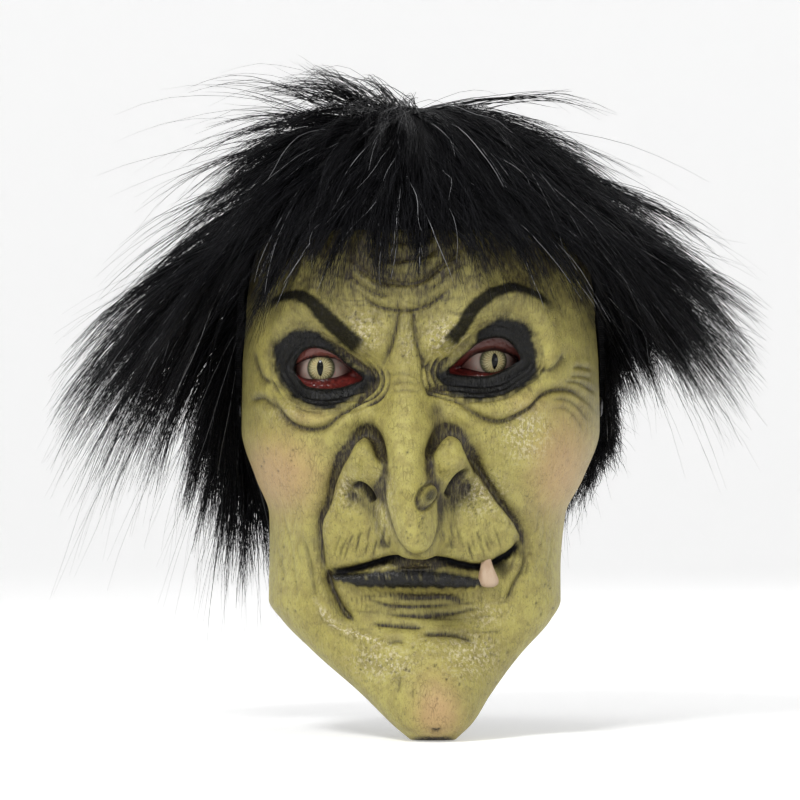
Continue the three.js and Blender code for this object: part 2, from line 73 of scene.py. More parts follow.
# Height table of the head: z, half width, front reach, section centre y, back reach, sideways shift
HALF_WIDTH, FRONT_REACH, CENTRE_Y, BACK_REACH, SHIFT = range(1, 6)
HEAD = np.array([
    (-161.5, 10, 99, -88, 9, 5),
    (-155, 17.5, 105, -83, 12, 4.5),
    (-143, 28, 103, -72, 16, 2.2),
    (-125, 46, 93, -54, 20, -1.3),
    (-112, 59, 88, -40, 24, -2),
    (-103, 64.5, 87, -32, 28, -2.7),
    (-90, 64.6, 87, -22, 40, -2.6),
    (-66, 66, 88, -8, 90, -1.5),
    (-50, 73, 88, -3, 98, -0.5),
    (-28, 80, 88, 0, 100, 0),
    (0, 79.5, 90, 0, 100, 0),
    (20, 78, 92, 0, 100, 0),
])
# Degrees round from the nose to the latex's rear edge, by height
REAR_EDGE = np.array([(-161.5, 105), (-112, 97), (-85, 91), (-60, 93), (-32, 104), (20, 105)])
# Nose: z, projection, half width, x of its ridge
PROJECTION, NOSE_HALF, RIDGE_X = range(1, 4)
NOSE = np.array([
    (-86, 0, 8, -1),
    (-79, 24, 9.6, -1.8),
    (-72, 35, 10.8, -2.6),
    (-60, 35, 11.6, -4.2),
    (-45, 28, 11.5, -5.6),
    (-25, 18, 10.5, -7),
    (-6, 9, 10, -7),
    (12, 1, 11, -7),
    (20, 0, 11, -7),
])


# ---- Small maths --------------------------------------------------------------------------
FAR = 1e3  # a distance no line on the face reaches


def along(rows, key, column=1):
    """The smooth curve through a table's rows, read at every key."""
    xs, ys = rows[:, 0], rows[:, column]
    slopes = np.diff(ys) / np.diff(xs)
    product = slopes[:-1] * slopes[1:]
    total = np.where(product > 0, slopes[:-1] + slopes[1:], 1)
    tangents = np.concatenate([slopes[:1], np.where(product > 0, 2 * product / total, 0), slopes[-1:]])
    i = np.clip(np.searchsorted(xs, key, side="right") - 1, 0, len(xs) - 2)
    step = xs[i + 1] - xs[i]
    t = np.clip((key - xs[i]) / step, 0, 1)
    h = 3 * t**2 - 2 * t**3
    bend = (t**3 - 2 * t**2 + t) * tangents[i] + (t**3 - t**2) * tangents[i + 1]
    return ys[i] * (1 - h) + ys[i + 1] * h + bend * step


def smooth(t):
    """An eased step from 0 to 1."""
    t = np.clip(t, 0, 1)
    return t * t * (3 - 2 * t)


def bell(distance, width, power=2):
    """1 at no distance and about a third at one width; a high power gives it a flat top."""
    return np.exp(-(distance / width) ** power)


def full_turn(sectors):
    """Angles once round, as a single row."""
    return np.linspace(0, 2 * math.pi, sectors, endpoint=False)[None]


def hill(x, z, at, size, tilt=0.0, power=2.0):
    """A rounded bump, 1 at its centre and about a third at its radii; a high power gives it a flat top."""
    c, s = math.cos(math.radians(tilt)), math.sin(math.radians(tilt))
    dx, dz = x - at[0], z - at[1]
    return np.exp(-np.hypot((c * dx + s * dz) / size[0], (c * dz - s * dx) / size[1]) ** power)


def smooth_path(points, steps=8, closed=False):
    """Catmull-Rom points through a listed line."""
    p = np.asarray(points, float)
    p = np.vstack([p[-1], p, p[:2]]) if closed else np.vstack([2 * p[0] - p[1], p, 2 * p[-1] - p[-2]])
    out = []
    for a, b, c, d in zip(p[:-3], p[1:-2], p[2:-1], p[3:]):
        t = np.linspace(0, 1, steps, endpoint=False)[:, None]
        out.append(0.5 * (2 * b + (c - a) * t + (2 * a - 5 * b + 4 * c - d) * t**2
                          + (3 * b - a - 3 * c + d) * t**3))
    return np.vstack(out + [p[-2][None]])


def from_line(x, z, path, reach):
    """Distance of each point from a line, its share of the way along it, and which side it is on."""
    distance = np.full(x.shape, FAR)
    share, side = np.zeros(x.shape), np.ones(x.shape)
    low, high = path.min(0) - reach, path.max(0) + reach
    near = np.nonzero((x > low[0]) & (x < high[0]) & (z > low[1]) & (z < high[1]))
    px, pz = x[near], z[near]
    best = np.full(px.shape, FAR)
    part, hand = np.zeros(px.shape), np.ones(px.shape)
    run = np.concatenate([[0], np.cumsum(np.hypot(*np.diff(path, axis=0).T))])
    for k, (a, b) in enumerate(zip(path[:-1], path[1:])):
        d = b - a
        length2 = max(d @ d, 1e-9)
        t = np.clip(((px - a[0]) * d[0] + (pz - a[1]) * d[1]) / length2, 0, 1)
        ox, oz = px - a[0] - t * d[0], pz - a[1] - t * d[1]
        r = np.hypot(ox, oz)
        closer = r < best
        best = np.where(closer, r, best)
        part = np.where(closer, (run[k] + t * math.sqrt(length2)) / run[-1], part)
        hand = np.where(closer, np.sign(d[0] * oz - d[1] * ox), hand)
    distance[near], share[near], side[near] = best, part, hand
    return distance, share, side


def near_line(x, z, line, reach):
    """The same for a listed line, smoothed first."""
    return from_line(x, z, smooth_path(line), reach)


def inside(x, z, loop):
    """True for the points inside a closed line."""
    within = np.zeros(x.shape, bool)
    for (ax, az), (bx, bz) in zip(loop, np.roll(loop, -1, axis=0)):
        crosses = (az > z) != (bz > z)
        with np.errstate(divide="ignore", invalid="ignore"):
            within ^= crosses & (x < (bx - ax) * (z - az) / (bz - az) + ax)
    return within


def wander(x, z, scale, seed):
    """Soft seeded noise between -1 and 1, with features about one scale across."""
    cells = 64
    grid = np.random.default_rng(seed).uniform(-1, 1, (cells, cells))
    u, v = (x / scale) % cells, (z / scale) % cells
    i, j = u.astype(int), v.astype(int)
    s, t = smooth(u - i), smooth(v - j)
    i1, j1 = (i + 1) % cells, (j + 1) % cells
    near = grid[i % cells, j % cells] * (1 - s) + grid[i1, j % cells] * s
    far = grid[i % cells, j1] * (1 - s) + grid[i1, j1] * s
    return near * (1 - t) + far * t


# ---- The head surface, as the CAD has it -----------------------------------------------------
def section(z, out, shrink):
    """The head's outline at a height: its middle's x and y, half width, and reach to front and back."""
    row = np.minimum(z, DOME_BASE)
    centre = along(HEAD, row, CENTRE_Y)
    width = (along(HEAD, row, HALF_WIDTH) + out) * shrink
    front = (along(HEAD, row, FRONT_REACH) + centre + out) * shrink
    back = (along(HEAD, row, BACK_REACH) + out) * shrink
    return along(HEAD, row, SHIFT), centre, width, front, back


def head_point(turn, climb, out=0.0):
    """Degrees round from the nose, height or arc length from DOME_BASE, distance outside the latex."""
    turn, climb = np.broadcast_arrays(np.asarray(turn, float), np.asarray(climb, float))
    arc = np.maximum(0, climb) / DOME_RISE
    z = np.where(climb <= 0, DOME_BASE + climb, DOME_BASE + (DOME_RISE + out) * np.sin(arc))
    shift, centre, width, front, back = section(z, out, np.cos(arc))
    s, c = np.sin(np.radians(turn)), np.cos(np.radians(turn))
    reach = np.where(c >= 0, front, back)
    r = ((np.abs(s) / width) ** SECTION_POWER + (np.abs(c) / reach) ** SECTION_POWER) ** (-1 / SECTION_POWER)
    return np.stack([shift + r * s, centre - r * c, z], -1)


# ---- What is sculpted and painted on the face: every place is [x, z] in the front view --------
EYES = {
    "left": {
        "at": (-41.5, -1),
        "opening": [(-56, -0.9), (-54.1, 3.3), (-50.4, 6.8), (-46.2, 7.7), (-40.9, 6.3), (-36.7, 3.9),
                    (-32.5, 0.3), (-28.2, -3), (-25.4, -5.9), (-28.2, -7.3), (-32.5, -8.8), (-37.7, -9.9),
                    (-44.6, -9.9), (-49.9, -8.8), (-53.1, -5.6), (-55.2, -3)],
        "slit": [(-56.2, -1), (-51.5, 1.9), (-47.8, 3.2), (-43.6, 3.6), (-39.3, 3.2), (-35.6, 1.9),
                 (-30.9, -1.6), (-33, -3.4), (-36.7, -4.9), (-40.9, -5.6), (-46.2, -5.8), (-50.4, -5.5),
                 (-54.1, -3.6)],
        "iris": (-43.8, -1.1),
        "paint": [(-64.5, 5), (-61.5, 11.6), (-53.6, 15.8), (-45.8, 14.9), (-36.8, 8.2), (-27.8, -0.2),
                  (-20, -5.3), (-22, -8.4), (-29, -13.6), (-40.2, -18.6), (-52.5, -15.4), (-61, -7.5)],
        "socket": (-42, 0),
        "lid_shade": 0.0,
    },
    "right": {
        "at": (28, 2.5),
        "opening": [(11.5, -2.7), (14.5, 0.5), (19.8, 5.5), (25.1, 9.8), (31.4, 11.9), (36.7, 11.1),
                    (40.4, 7.7), (43.2, 2.9), (40.9, 1), (36.7, -1.5), (32.5, -3.4), (27.2, -4.6),
                    (19.8, -4.4), (14.5, -3.8)],
        "slit": [(17.6, -0.6), (22.4, 4), (26.7, 5.6), (31.4, 6.2), (35.6, 5.6), (39.9, 4), (42.4, 2.2),
                 (40.4, 0.9), (37.7, -0.8), (33.5, -2.5), (29.3, -3), (24, -2.3), (19.8, -1.2)],
        "iris": (31.7, 1.9),
        "paint": [(5.3, -3.6), (13.2, 0.9), (18.8, 5.9), (24.4, 13.2), (30, 18.3), (36.8, 20.5), (44.6, 18.3),
                  (48.5, 11.6), (50.4, 3.7), (50.2, -4.2), (41.3, -10.6), (26.7, -15), (16, -13.1),
                  (9, -7.8)],
        "socket": (29, 2),
        "lid_shade": 0.55,
    },
}
EYE_RADIUS = 14.0
IRIS_RADIUS = 6.2
PUPIL = (1.35, 3.3)  # half width and half height
TOOTH = (29.3, -90.3)
BROWS = {
    "left": ([(-69.3, 22.8), (-63.2, 28.4), (-55.9, 30.6), (-49.1, 28.4), (-42.4, 22.2), (-35.1, 14.9),
              (-25.5, 6.8)], (2.5, 4.7)),
    "right": ([(59.5, 24), (54.2, 27.8), (47.4, 31.8), (40.1, 33.4), (31.2, 31.2), (22.7, 24.5), (17.1, 16),
               (11, 8.8)], (2.4, 3.9)),
}
UPPER_LIP = [(-40.7, -90.1), (-31.7, -88.8), (-21.5, -86.3), (-12.6, -83.7), (-2.4, -82.8), (9.1, -84.4),
             (16.7, -86.3), (24, -87.4), (30, -86.4), (34.5, -84.4), (39.6, -81.2), (45.4, -76.1)]
LIP_GLINT = [(-24, -88.3), (-14, -86.6), (-4, -85.6), (4, -86), (9, -87.2)]
LOWER_LIP = [(-38, -91.4), (-33, -92), (-25.3, -92.7), (-12.6, -92), (0.1, -91.8), (12.9, -92.8),
             (24.3, -94.2), (28, -94.8)]
# Grooves: line, half width, depth, strength of the dark wash and painted shade in it
GROOVES = [
    # round the left eye
    ([(-64.3, -9.2), (-63.2, -17.6), (-57, -24.9), (-49.1, -27.7), (-41.3, -26.6), (-34.5, -21),
      (-26.7, -15.4), (-19.4, -5.8)], 1.3, 1.7, 0.95),
    ([(-73.8, 7.1), (-72.7, 0.9), (-69.9, -5.3), (-64.3, -8.6)], 1.3, 1.3, 0.8),
    ([(-76, -15.8), (-69.9, -14.3), (-66, -16.5), (-62.5, -20)], 1.2, 1.1, 0.8),
    ([(-60.4, -11), (-53, -19), (-41, -21.6), (-30, -16)], 0.8, 0.5, 0.35),
    # round the right eye and out over the cheek
    ([(10.4, -9.2), (16, -15.4), (23.3, -21), (30, -23.8), (36.8, -23.8), (46.9, -18.7), (52.5, -13.1),
      (58.1, -10.9), (65.4, -10.9), (72.1, -14.8), (77.5, -19.9)], 1.2, 1.6, 0.9),
    ([(3.7, -13.9), (5.2, -10.8), (11.5, -10.3)], 1.8, 1.5, 0.9),
    ([(50.2, -0.8), (53.6, -2.5), (58.1, -1.3), (61.4, 2.6), (63.1, 6.5)], 1.3, 1.3, 0.7),
    ([(65.9, -0.8), (70, -0.4), (75.5, -1.6)], 0.8, 0.6, 0.5),
    ([(64.4, -4.7), (70, -4.5), (75.5, -5.8)], 0.8, 0.6, 0.5),
    ([(61.4, -7), (69.3, -7.5), (77.5, -12)], 0.9, 0.7, 0.6),
    ([(55.3, -15.2), (62.6, -14.8), (69.3, -18.7), (74.9, -25.9)], 0.9, 0.7, 0.55),
    ([(57, -19), (63, -18.6), (68.5, -23.5), (72, -30)], 0.8, 0.5, 0.35),
    # between the brows and over the forehead
    ([(-9.9, 29.5), (-10.4, 20.5), (-13.2, 8.2), (-17.2, -0.8)], 1.0, 1.1, 0.95),
    ([(-3.8, 28.3), (-2.6, 15), (-0.6, 5.9), (2.3, -0.8), (6.5, -4.2)], 0.9, 1.1, 0.95),
    ([(-31, 47), (-22.2, 39), (-15.5, 36.2), (-7.6, 35.4), (-1.4, 36), (3.7, 39), (9.3, 44), (14.9, 49.1),
      (23, 55)], 1.1, 1.7, 1.0),
    ([(-27, 55), (-21.1, 48.2), (-13.2, 46), (-5.4, 46.2), (2, 47.6), (9, 53)], 1.0, 1.5, 1.0),
    ([(-28, 33), (-22.2, 27.3), (-15.5, 24.5), (-7.6, 23.6), (-0.8, 24.5), (7, 28.4),
      (14, 35)], 0.9, 1.2, 0.95),
    ([(-33, 41), (-26, 34.5), (-20, 31), (-12, 29.6)], 0.8, 0.9, 0.8),
    ([(1, 32), (8, 35.5), (14, 41), (22, 46)], 0.8, 0.9, 0.8),
    ([(-27, 62), (-14, 54.6), (-5, 54), (8, 58), (19, 66)], 1.0, 1.4, 0.95),
    ([(-14, -4.4), (-8, -3.6), (-2, -4.8)], 0.6, 0.35, 0.4),
    ([(-14, -8.2), (-7, -7.2), (-1, -8.4)], 0.6, 0.35, 0.45),
    ([(-13.5, -11.6), (-6, -10.8), (0, -12.2)], 0.6, 0.3, 0.35),
    # round the nostril wings
    ([(-36.5, -45), (-34, -38.6), (-30, -31.6), (-24.5, -28.2), (-20, -31), (-17.6, -38), (-16.4, -45)],
     2.3, 4.2, 1.0),
    ([(3.4, -43), (4.2, -36), (7.4, -30.8), (12, -28), (17.8, -30.6), (21.8, -37.6),
      (25, -44)], 1.9, 3.6, 1.0),
    # round the nose's tip: its dark wash is partly painted shade under the hanging tip
    ([(-15.8, -50), (-15.4, -60), (-13, -68.5), (-10, -74), (-5, -77.6), (0, -78), (5, -75.4), (8.2, -68),
      (8, -60), (7.6, -50)], 1.1, 1.1, 0.62),
    # laugh lines and the folds at the mouth's corners
    ([(-34, -38.6), (-37.9, -47.6), (-40.9, -59.3), (-44.2, -66.4), (-45, -73.1), (-44.2, -78.8),
      (-43, -86), (-41, -93)], 1.8, 3.0, 1.0),
    ([(19, -36), (26.6, -47.6), (33.3, -57.2), (40.1, -65.6), (44.4, -71.8), (46.4, -77.4),
      (46.9, -81)], 1.7, 3.2, 1.0),
    ([(-42.6, -86.9), (-39.9, -94.6), (-37, -100.8), (-33.2, -107), (-28, -111.7)], 1.8, 2.8, 1.0),
    ([(-51.6, -73), (-48.5, -84.5), (-47.1, -93.1), (-45.1, -102.2)], 1.5, 1.2, 0.5),
    ([(46.4, -80), (44.7, -87.6), (40.6, -94.6), (38.1, -100.2), (35.6, -103.7)], 1.1, 1.3, 0.75),
    ([(43.5, -79), (40.5, -84.5), (38.5, -90)], 0.8, 0.7, 0.6),
    ([(46, -82), (46.6, -87), (44.8, -92)], 0.7, 0.6, 0.5),
    # under the lower lip and over the chin
    ([(-12, -99.6), (-2, -100.6), (10, -100.4), (20, -102)], 1.3, 0.9, 0.5),
    ([(-26, -100), (-14, -104), (2, -104.4), (17, -103.4)], 0.8, 0.5, 0.3),
    ([(-14, -108), (0, -109), (14, -107.5), (26, -105)], 0.7, 0.45, 0.3),
    ([(-22, -112), (-8.4, -113), (2, -113.8)], 0.9, 0.9, 0.7),
    ([(-0.6, -116.8), (7, -116), (16.5, -117), (24, -120.4)], 1.1, 1.2, 0.65),
    ([(-15, -120.6), (-11, -119), (-7, -119.6)], 1.0, 0.9, 0.5),
    ([(-10, -132), (-9.4, -136), (-10.6, -141)], 0.8, 0.5, 0.5),
    ([(-3.6, -139), (-4, -143.5)], 0.7, 0.4, 0.4),
    ([(3.8, -156.2), (6.4, -156.6), (8.6, -156)], 0.7, 0.7, 0.9),
]
# Raised edges: line, half width, height, strength of the pale paint on it: drybrushing, with painted
# highlight along the crest
RIDGES = [
    ([(-46, -101), (-40.9, -108.9), (-34.7, -114.1), (-22.7, -118.4), (-9.4, -122)], 1.5, 1.3, 0.9),
    ([(-31.5, -47.5), (-36.2, -59.3), (-40.4, -68.4), (-40.6, -76)], 2.2, 1.0, 0.15),
    ([(25, -51), (31, -60), (37.6, -68), (41.4, -74)], 2.2, 1.0, 0.25),
    ([(-35.5, -91.5), (-38.5, -90.6), (-35, -94.6)], 0.8, 0.8, 0.5),
]
NOSTRILS = {
    "left": [(-29.6, -51.4), (-24.5, -53.2), (-20.2, -58.6)],
    "right": [(19.4, -44.4), (15.1, -50), (10.8, -56.6)],
}
WART = (2.4, -53.8)
# Big forms: height in front of the plain head, place, half sizes, tilt, power of the slope
FORMS = [
    (13.5, (-25.2, -42.4), (8.6, 11), 6, 3.4),  # nostril wings
    (13, (13, -38.6), (8.6, 9.8), 0, 3.4),
    (8, (11.5, -47), (6, 10), -30, 2.8),
    (4.5, (-22, 7), (7, 8), 0, 2),  # frown between the brows
    (4.5, (9.5, 9), (7, 8), 0, 2),
    (3, (-7, 14), (5, 16), 0, 2),
    (6, (-60, -40), (19, 17), 0, 2),  # cheekbones
    (6, (55, -38), (19, 18), 0, 2),
    (5, (-33, -30), (15, 10), -30, 2),  # cheeks beside the nose
    (5, (30, -33), (15, 9), -38, 2),
    (6.5, (-2, -70), (36, 15), 0, 3),  # upper lip
    (3, (-54, -98), (12, 18), 0, 2),  # jowls
    (3, (52, -96), (12, 18), 0, 2),
    (-4.5, (2, -105), (30, 9), 0, 2),  # dip under the lower lip
    (8, (6, -141), (20, 17), 0, 2.4),  # chin
    (3, (-1, -122), (24, 8), 0, 2),
    (-3, (-24, -128), (11, 13), 40, 2),  # hollows beside the chin
    (-3, (32, -124), (11, 13), -40, 2),
]
BROW_BONES = [
    [(-26, 8), (-36, 17), (-46, 25), (-57, 25), (-66, 16), (-70, 4), (-68, -3)],
    [(12, 11), (22, 22), (32, 29), (43, 30), (53, 22), (58, 10), (57, 1)],
]
BROW_BONE = 5.5, 6.5  # height and half width
# Blush: strength, place, half sizes, tilt, power of its edge
BLUSH = [
    (0.95, (-63, -48), (19, 17), 0, 2.6),
    (0.95, (62, -44), (14, 23), -12, 2.6),
    (0.95, (7, -150), (10, 11), 0, 2.8),
    (0.35, (5, -137), (9, 9), 0, 2),
    (0.3, (-48, -22), (9, 4), 0, 2),
    (0.3, (46, -17), (10, 5), 0, 2),
]
# Pale drybrushing, with painted highlights among it on the nose: strength, place, half sizes
DRY_BRUSH_AND_HIGHLIGHTS = [
    (0.75, (-17, -128), (13, 7)), (0.7, (21, -125), (12, 9)), (0.3, (2, -121), (9, 5)), (0.8, (24, -55),
    (11, 9)), (0.6, (-31, -54), (6, 8)), (0.7, (45, -30), (10, 11)), (0.55, (-16, -60), (5, 16)),
    (0.8, (10, 12), (9, 8)), (0.6, (-25, 15), (8, 9)), (0.35, (-6, 10), (4, 12)), (0.4, (28, -108),
    (10, 6)), (0.3, (-60, -20), (8, 5)),
]
# Fields of pits: how many, middle, spread
PITS = [
    (70, (24, -56), (10, 9)), (26, (-31, -58), (7, 9)), (26, (0, -52), (9, 14)), (12, (-2, -66), (8, 6)),
    (30, (-6, 14), (12, 9)), (22, (-26, 18), (8, 10)), (22, (12, 14), (8, 8)), (14, (-60, -92), (8, 22)),
    (22, (-20, -124), (16, 9)), (24, (30, -124), (12, 11)), (12, (52, -100), (8, 18)),
    (12, (-62, -44), (14, 12)), (14, (0, -132), (18, 12)), (10, (20, -30), (12, 6)),
]


def nose_height(x, z):
    """How far the nose stands out, with nothing above or below it."""
    from_ridge = np.abs(x - along(NOSE, z, RIDGE_X))
    height = along(NOSE, z, PROJECTION) * bell(from_ridge, along(NOSE, z, NOSE_HALF), 2.5)
    return np.where((z > NOSE[0, 0]) & (z < NOSE[-1, 0]), height, 0)


def eye_frame(side):
    """Centre and outline of one eye opening."""
    loop = smooth_path(EYES[side]["opening"], 7, closed=True)[:-1]
    return loop.mean(0), loop


def relief(x, z):
    """How far the big forms of the face stand in front of the plain head."""
    r = nose_height(x, z)
    for height, at, size, tilt, power in FORMS:
        r += height * hill(x, z, at, size, tilt, power)
    for eye, way in (("left", -1), ("right", 1)):
        sx, sz = EYES[eye]["socket"]
        socket_depth = 12.5 + 0.3 * np.clip((sx - x) * way, -20, 20)
        r -= socket_depth * hill(x, z, (sx, sz), (21, 12.5), 9 * way, 2.3)
        r += 4.5 * hill(x, z, (sx + 3 * way, sz - 19), (18, 6.5), 3 * way)
    height, width = BROW_BONE
    for line in BROW_BONES:
        d, share, _ = near_line(x, z, line, 4 * width)
        r += height * bell(d, width) * (0.6 + 0.4 * np.sin(np.pi * share))
    return r


def face_point(turn, climb, out=0.0):
    """A point of the face: the plain head with the big forms in front of it and the nose hooked down."""
    p = head_point(turn, climb, out)
    x, z = p[..., 0], p[..., 2]
    fade = smooth((92 - np.abs(turn)) / 22) * smooth((62 - z) / 16)
    hook = 0.2 * np.maximum(0, nose_height(x, z) - 12) * fade
    return p - np.stack([np.zeros_like(x), relief(x, z) * fade, hook], -1)


def taper(share, ends=0.22):
    """Strength along a line that thins towards both its ends."""
    return smooth(np.minimum(share, 1 - share) / ends) * 0.85 + 0.15


def lay(paint, name, strength):
    """Puts paint on a mask wherever it is stronger than what is there."""
    paint[name] = np.maximum(paint[name], strength)


def sculpt(x, z):
    """Fine relief along the skin's normal, and the paint masks that go with it."""
    height = np.zeros(x.shape)
    paint = {name: np.zeros(x.shape) for name in ("wash_and_shade", "black", "blush", "drybrush_and_highlight", "gloss")}
    for feature in (sculpt_grooves, sculpt_ridges, sculpt_eyes, sculpt_brows, sculpt_upper_lip,
                    sculpt_lower_lip, sculpt_mouth_corners, sculpt_nostrils, sculpt_wart, sculpt_lines,
                    sculpt_pits):
        feature(x, z, height, paint)
    paint_patches(x, z, paint)
    paint_wash_and_shade(x, z, paint)
    return height, paint


def sculpt_grooves(x, z, height, paint):
    """Grooves with a puffed lip on each side, a crisp dark wash in them and a ragged band around of wash and
    painted shade.
    """
    ragged = 1 + 0.35 * wander(x, z, 1.6, SEED)
    for line, width, depth, wash_and_shade in GROOVES:
        d, share, _ = near_line(x, z, line, 6 * width)
        ends = taper(share)
        height -= depth * bell(d, width) * ends
        height += 0.38 * depth * bell(d - 3.0 * width, 1.9 * width) * ends
        lay(paint, "wash_and_shade", wash_and_shade * bell(d, 0.85 * width, 3) * ends)
        lay(paint, "wash_and_shade", 0.46 * wash_and_shade * bell(d, 2.2 * width) * ends * ragged)


def sculpt_ridges(x, z, height, paint):
    for line, width, rise, drybrush_and_highlight in RIDGES:
        d, share, _ = near_line(x, z, line, 6 * width)
        crest = bell(d, width) * taper(share)
        height += rise * crest
        lay(paint, "drybrush_and_highlight", drybrush_and_highlight * crest)


def sculpt_nostrils(x, z, height, paint):
    for line in NOSTRILS.values():
        d, share, _ = near_line(x, z, line, 9)
        middle = np.sin(np.pi * share)
        height -= 4.5 * bell(d, 1.3) * middle**0.6
        # The nostrils are grooves, not holes: the black in them is painted shade standing in for the dark
        # openings.
        lay(paint, "black", bell(d, 1.1, 4) * middle**0.4)
        lay(paint, "wash_and_shade", 0.5 * bell(d, 2.4))


def paint_patches(x, z, paint):
    """Blush on the cheeks and chin, and pale drybrushing where a cloth would catch the skin, with painted
    highlights among it on the nose.
    """
    for strength, at, size, tilt, power in BLUSH:
        paint["blush"] += strength * hill(x, z, at, size, tilt, power)
    for strength, at, size in DRY_BRUSH_AND_HIGHLIGHTS:
        lay(paint, "drybrush_and_highlight", strength * hill(x, z, at, size, 0, 2.4))


def paint_wash_and_shade(x, z, paint):
    """Dark wash and painted shade over the forehead, where the fur's shadow falls, between the brows and down
    the temples, and painted shadow under the lower lip.
    """
    shade = 0.92 * smooth((z - 6) / 34) + 0.30 * smooth((z - 36) / 16)
    shade += 0.26 * hill(x, z, (-6, 8), (16, 12))
    shade += 0.42 * smooth((np.abs(x + 2) - 64) / 16) * smooth((z + 70) / 60)
    shade_and_wash = shade * (0.76 + 0.24 * wander(x, z, 5, SEED + 1) + 0.20 * wander(x, z, 1.7, SEED + 13))
    paint["wash_and_shade"] = 1 - (1 - paint["wash_and_shade"]) * (1 - np.clip(shade_and_wash, 0, 0.94))
    # painted shadow under the lower lip
    lay(paint, "wash_and_shade", 0.3 * hill(x, z, (2, -101), (24, 5)))


def sculpt_eyes(x, z, height, paint):
    """Black paint round each eye, a raised rim at the opening and folds round it, deepest below."""
    for side in EYES:
        loop = smooth_path(EYES[side]["paint"], 6, closed=True)
        d, _, _ = from_line(x, z, loop, 12)
        depth_in = np.where(inside(x, z, loop[:-1]), d, -d)
        edge = 0.8 * wander(x, z, 2.8, SEED + 2) + 0.5 * wander(x, z, 0.9, SEED + 3)
        lay(paint, "black", smooth((depth_in + 1.1 + edge) / 2.2))
        lay(paint, "wash_and_shade", 0.6 * smooth((depth_in + 4.5 + 1.5 * edge) / 4.5))
        centre, rim = eye_frame(side)
        d, _, _ = from_line(x, z, np.vstack([rim, rim[:1]]), 14)
        height += 1.1 * bell(d - 1.6, 1.3)
        ring = 1.5 + 1.25 * wander(x, z, 9, SEED + 4)
        lower = smooth((centre[1] - z + 2) / 4)
        for k in range(4):
            height -= 1.4 * bell(d - 3.4 - 2.3 * k - 0.5 * ring, 0.7) * (0.25 + 0.75 * lower)
        lay(paint, "gloss", 0.55 * smooth((depth_in + 1) / 3))


def sculpt_brows(x, z, height, paint):
    """Painted brows with ragged edges, thin at the temple and thick at the nose."""
    for line, (thin, thick) in BROWS.values():
        d, share, _ = near_line(x, z, line, 12)
        half = thin + (thick - thin) * smooth(share * 1.3)
        hairs = 0.9 * wander(0.35 * x, z, 1.1, SEED + 5) + 0.6 * wander(x, z, 0.8, SEED + 6)
        fade = smooth(share / 0.14) * smooth((1.03 - share) / 0.10)
        lay(paint, "black", 0.97 * smooth((half - d + 0.35 * hairs) / 1.8) * fade)
        height += 0.5 * bell(d, half) * fade + 0.12 * hairs * bell(d, half, 4)


def lip_edge(x, z):
    """Noise that makes the edges of the lips' paint ragged."""
    return 0.8 * wander(x, z, 1.3, SEED + 7) + 0.5 * wander(2.2 * x, 0.5 * z, 1.0, SEED + 8)


def sculpt_upper_lip(x, z, height, paint):
    """The dark line between the lips, and the roll of skin over it."""
    d, share, side = near_line(x, z, UPPER_LIP, 14)
    above = d * side
    height -= 2.9 * bell(d, 1.7) * taper(share, 0.1)
    height += 1.4 * bell(above - 3.2, 2.2) * taper(share, 0.15)
    ragged = lip_edge(x, z)
    lay(paint, "black", smooth((2.1 - d + 0.4 * ragged) / 1.1) * taper(share, 0.05))
    lay(paint, "wash_and_shade", 0.7 * bell(d, 4.2) * (0.75 + 0.5 * ragged) * taper(share))


def sculpt_lower_lip(x, z, height, paint):
    """The full lower lip: black and glossy, fluted, with painted highlights along its top: pale streaks and a
    glint.
    """
    ragged = lip_edge(x, z)
    d, share, side = near_line(x, z, LOWER_LIP, 16)
    fullness = np.sin(np.pi * np.clip(share * 0.92 + 0.05, 0, 1)) ** 0.5
    half = 4.3 * fullness + 0.2
    height += 4.4 * bell(d, half, 2.4) * fullness
    flutes = np.abs(wander(x + 0.3 * z, 0.10 * z, 2.3, SEED + 9))
    height -= 1.1 * flutes * bell(d, 3.6) * fullness
    lip = smooth((half + 0.4 + 0.3 * ragged - 0.9 * flutes * (side < 0) - d) / 1.6)
    lay(paint, "black", lip)
    lay(paint, "gloss", lip)
    lay(paint, "wash_and_shade", 0.6 * bell(d, 7, 4) * (0.7 + 0.6 * ragged) * fullness)
    # painted highlights: pale streaks along the lip's upper side in place of its glossy glints
    streaks = smooth((0.32 - flutes) / 0.3) * bell(d - 1.4, 1.3) * (side > 0)
    streaks *= fullness**2 * smooth((20 - x) / 20) * smooth((x + 34) / 14)
    paint["black"] *= 1 - 0.5 * streaks
    lay(paint, "drybrush_and_highlight", 0.9 * streaks)
    # painted highlight: a pale line cut into the black along the lip's top, standing in for its glint
    d, share, _ = near_line(x, z, LIP_GLINT, 6)
    height += 1.5 * bell(d, 1.0) * taper(share)
    paint["black"] *= 1 - 0.9 * bell(d, 0.75) * taper(share)
    lay(paint, "drybrush_and_highlight", 0.8 * bell(d, 0.5) * taper(share))


def sculpt_mouth_corners(x, z, height, paint):
    smudge = hill(x, z, (35, -87), (3.6, 5.2), 10, 3)
    lay(paint, "black", 0.85 * smudge)
    corner = hill(x, z, (44, -79), (4.5, 6), 20) + 0.8 * hill(x, z, (-39, -91), (4, 4)) + 0.5 * smudge
    lay(paint, "wash_and_shade", 0.9 * corner * (0.7 + 0.5 * wander(x, z, 1.2, SEED + 10)))
    height -= 2.0 * corner


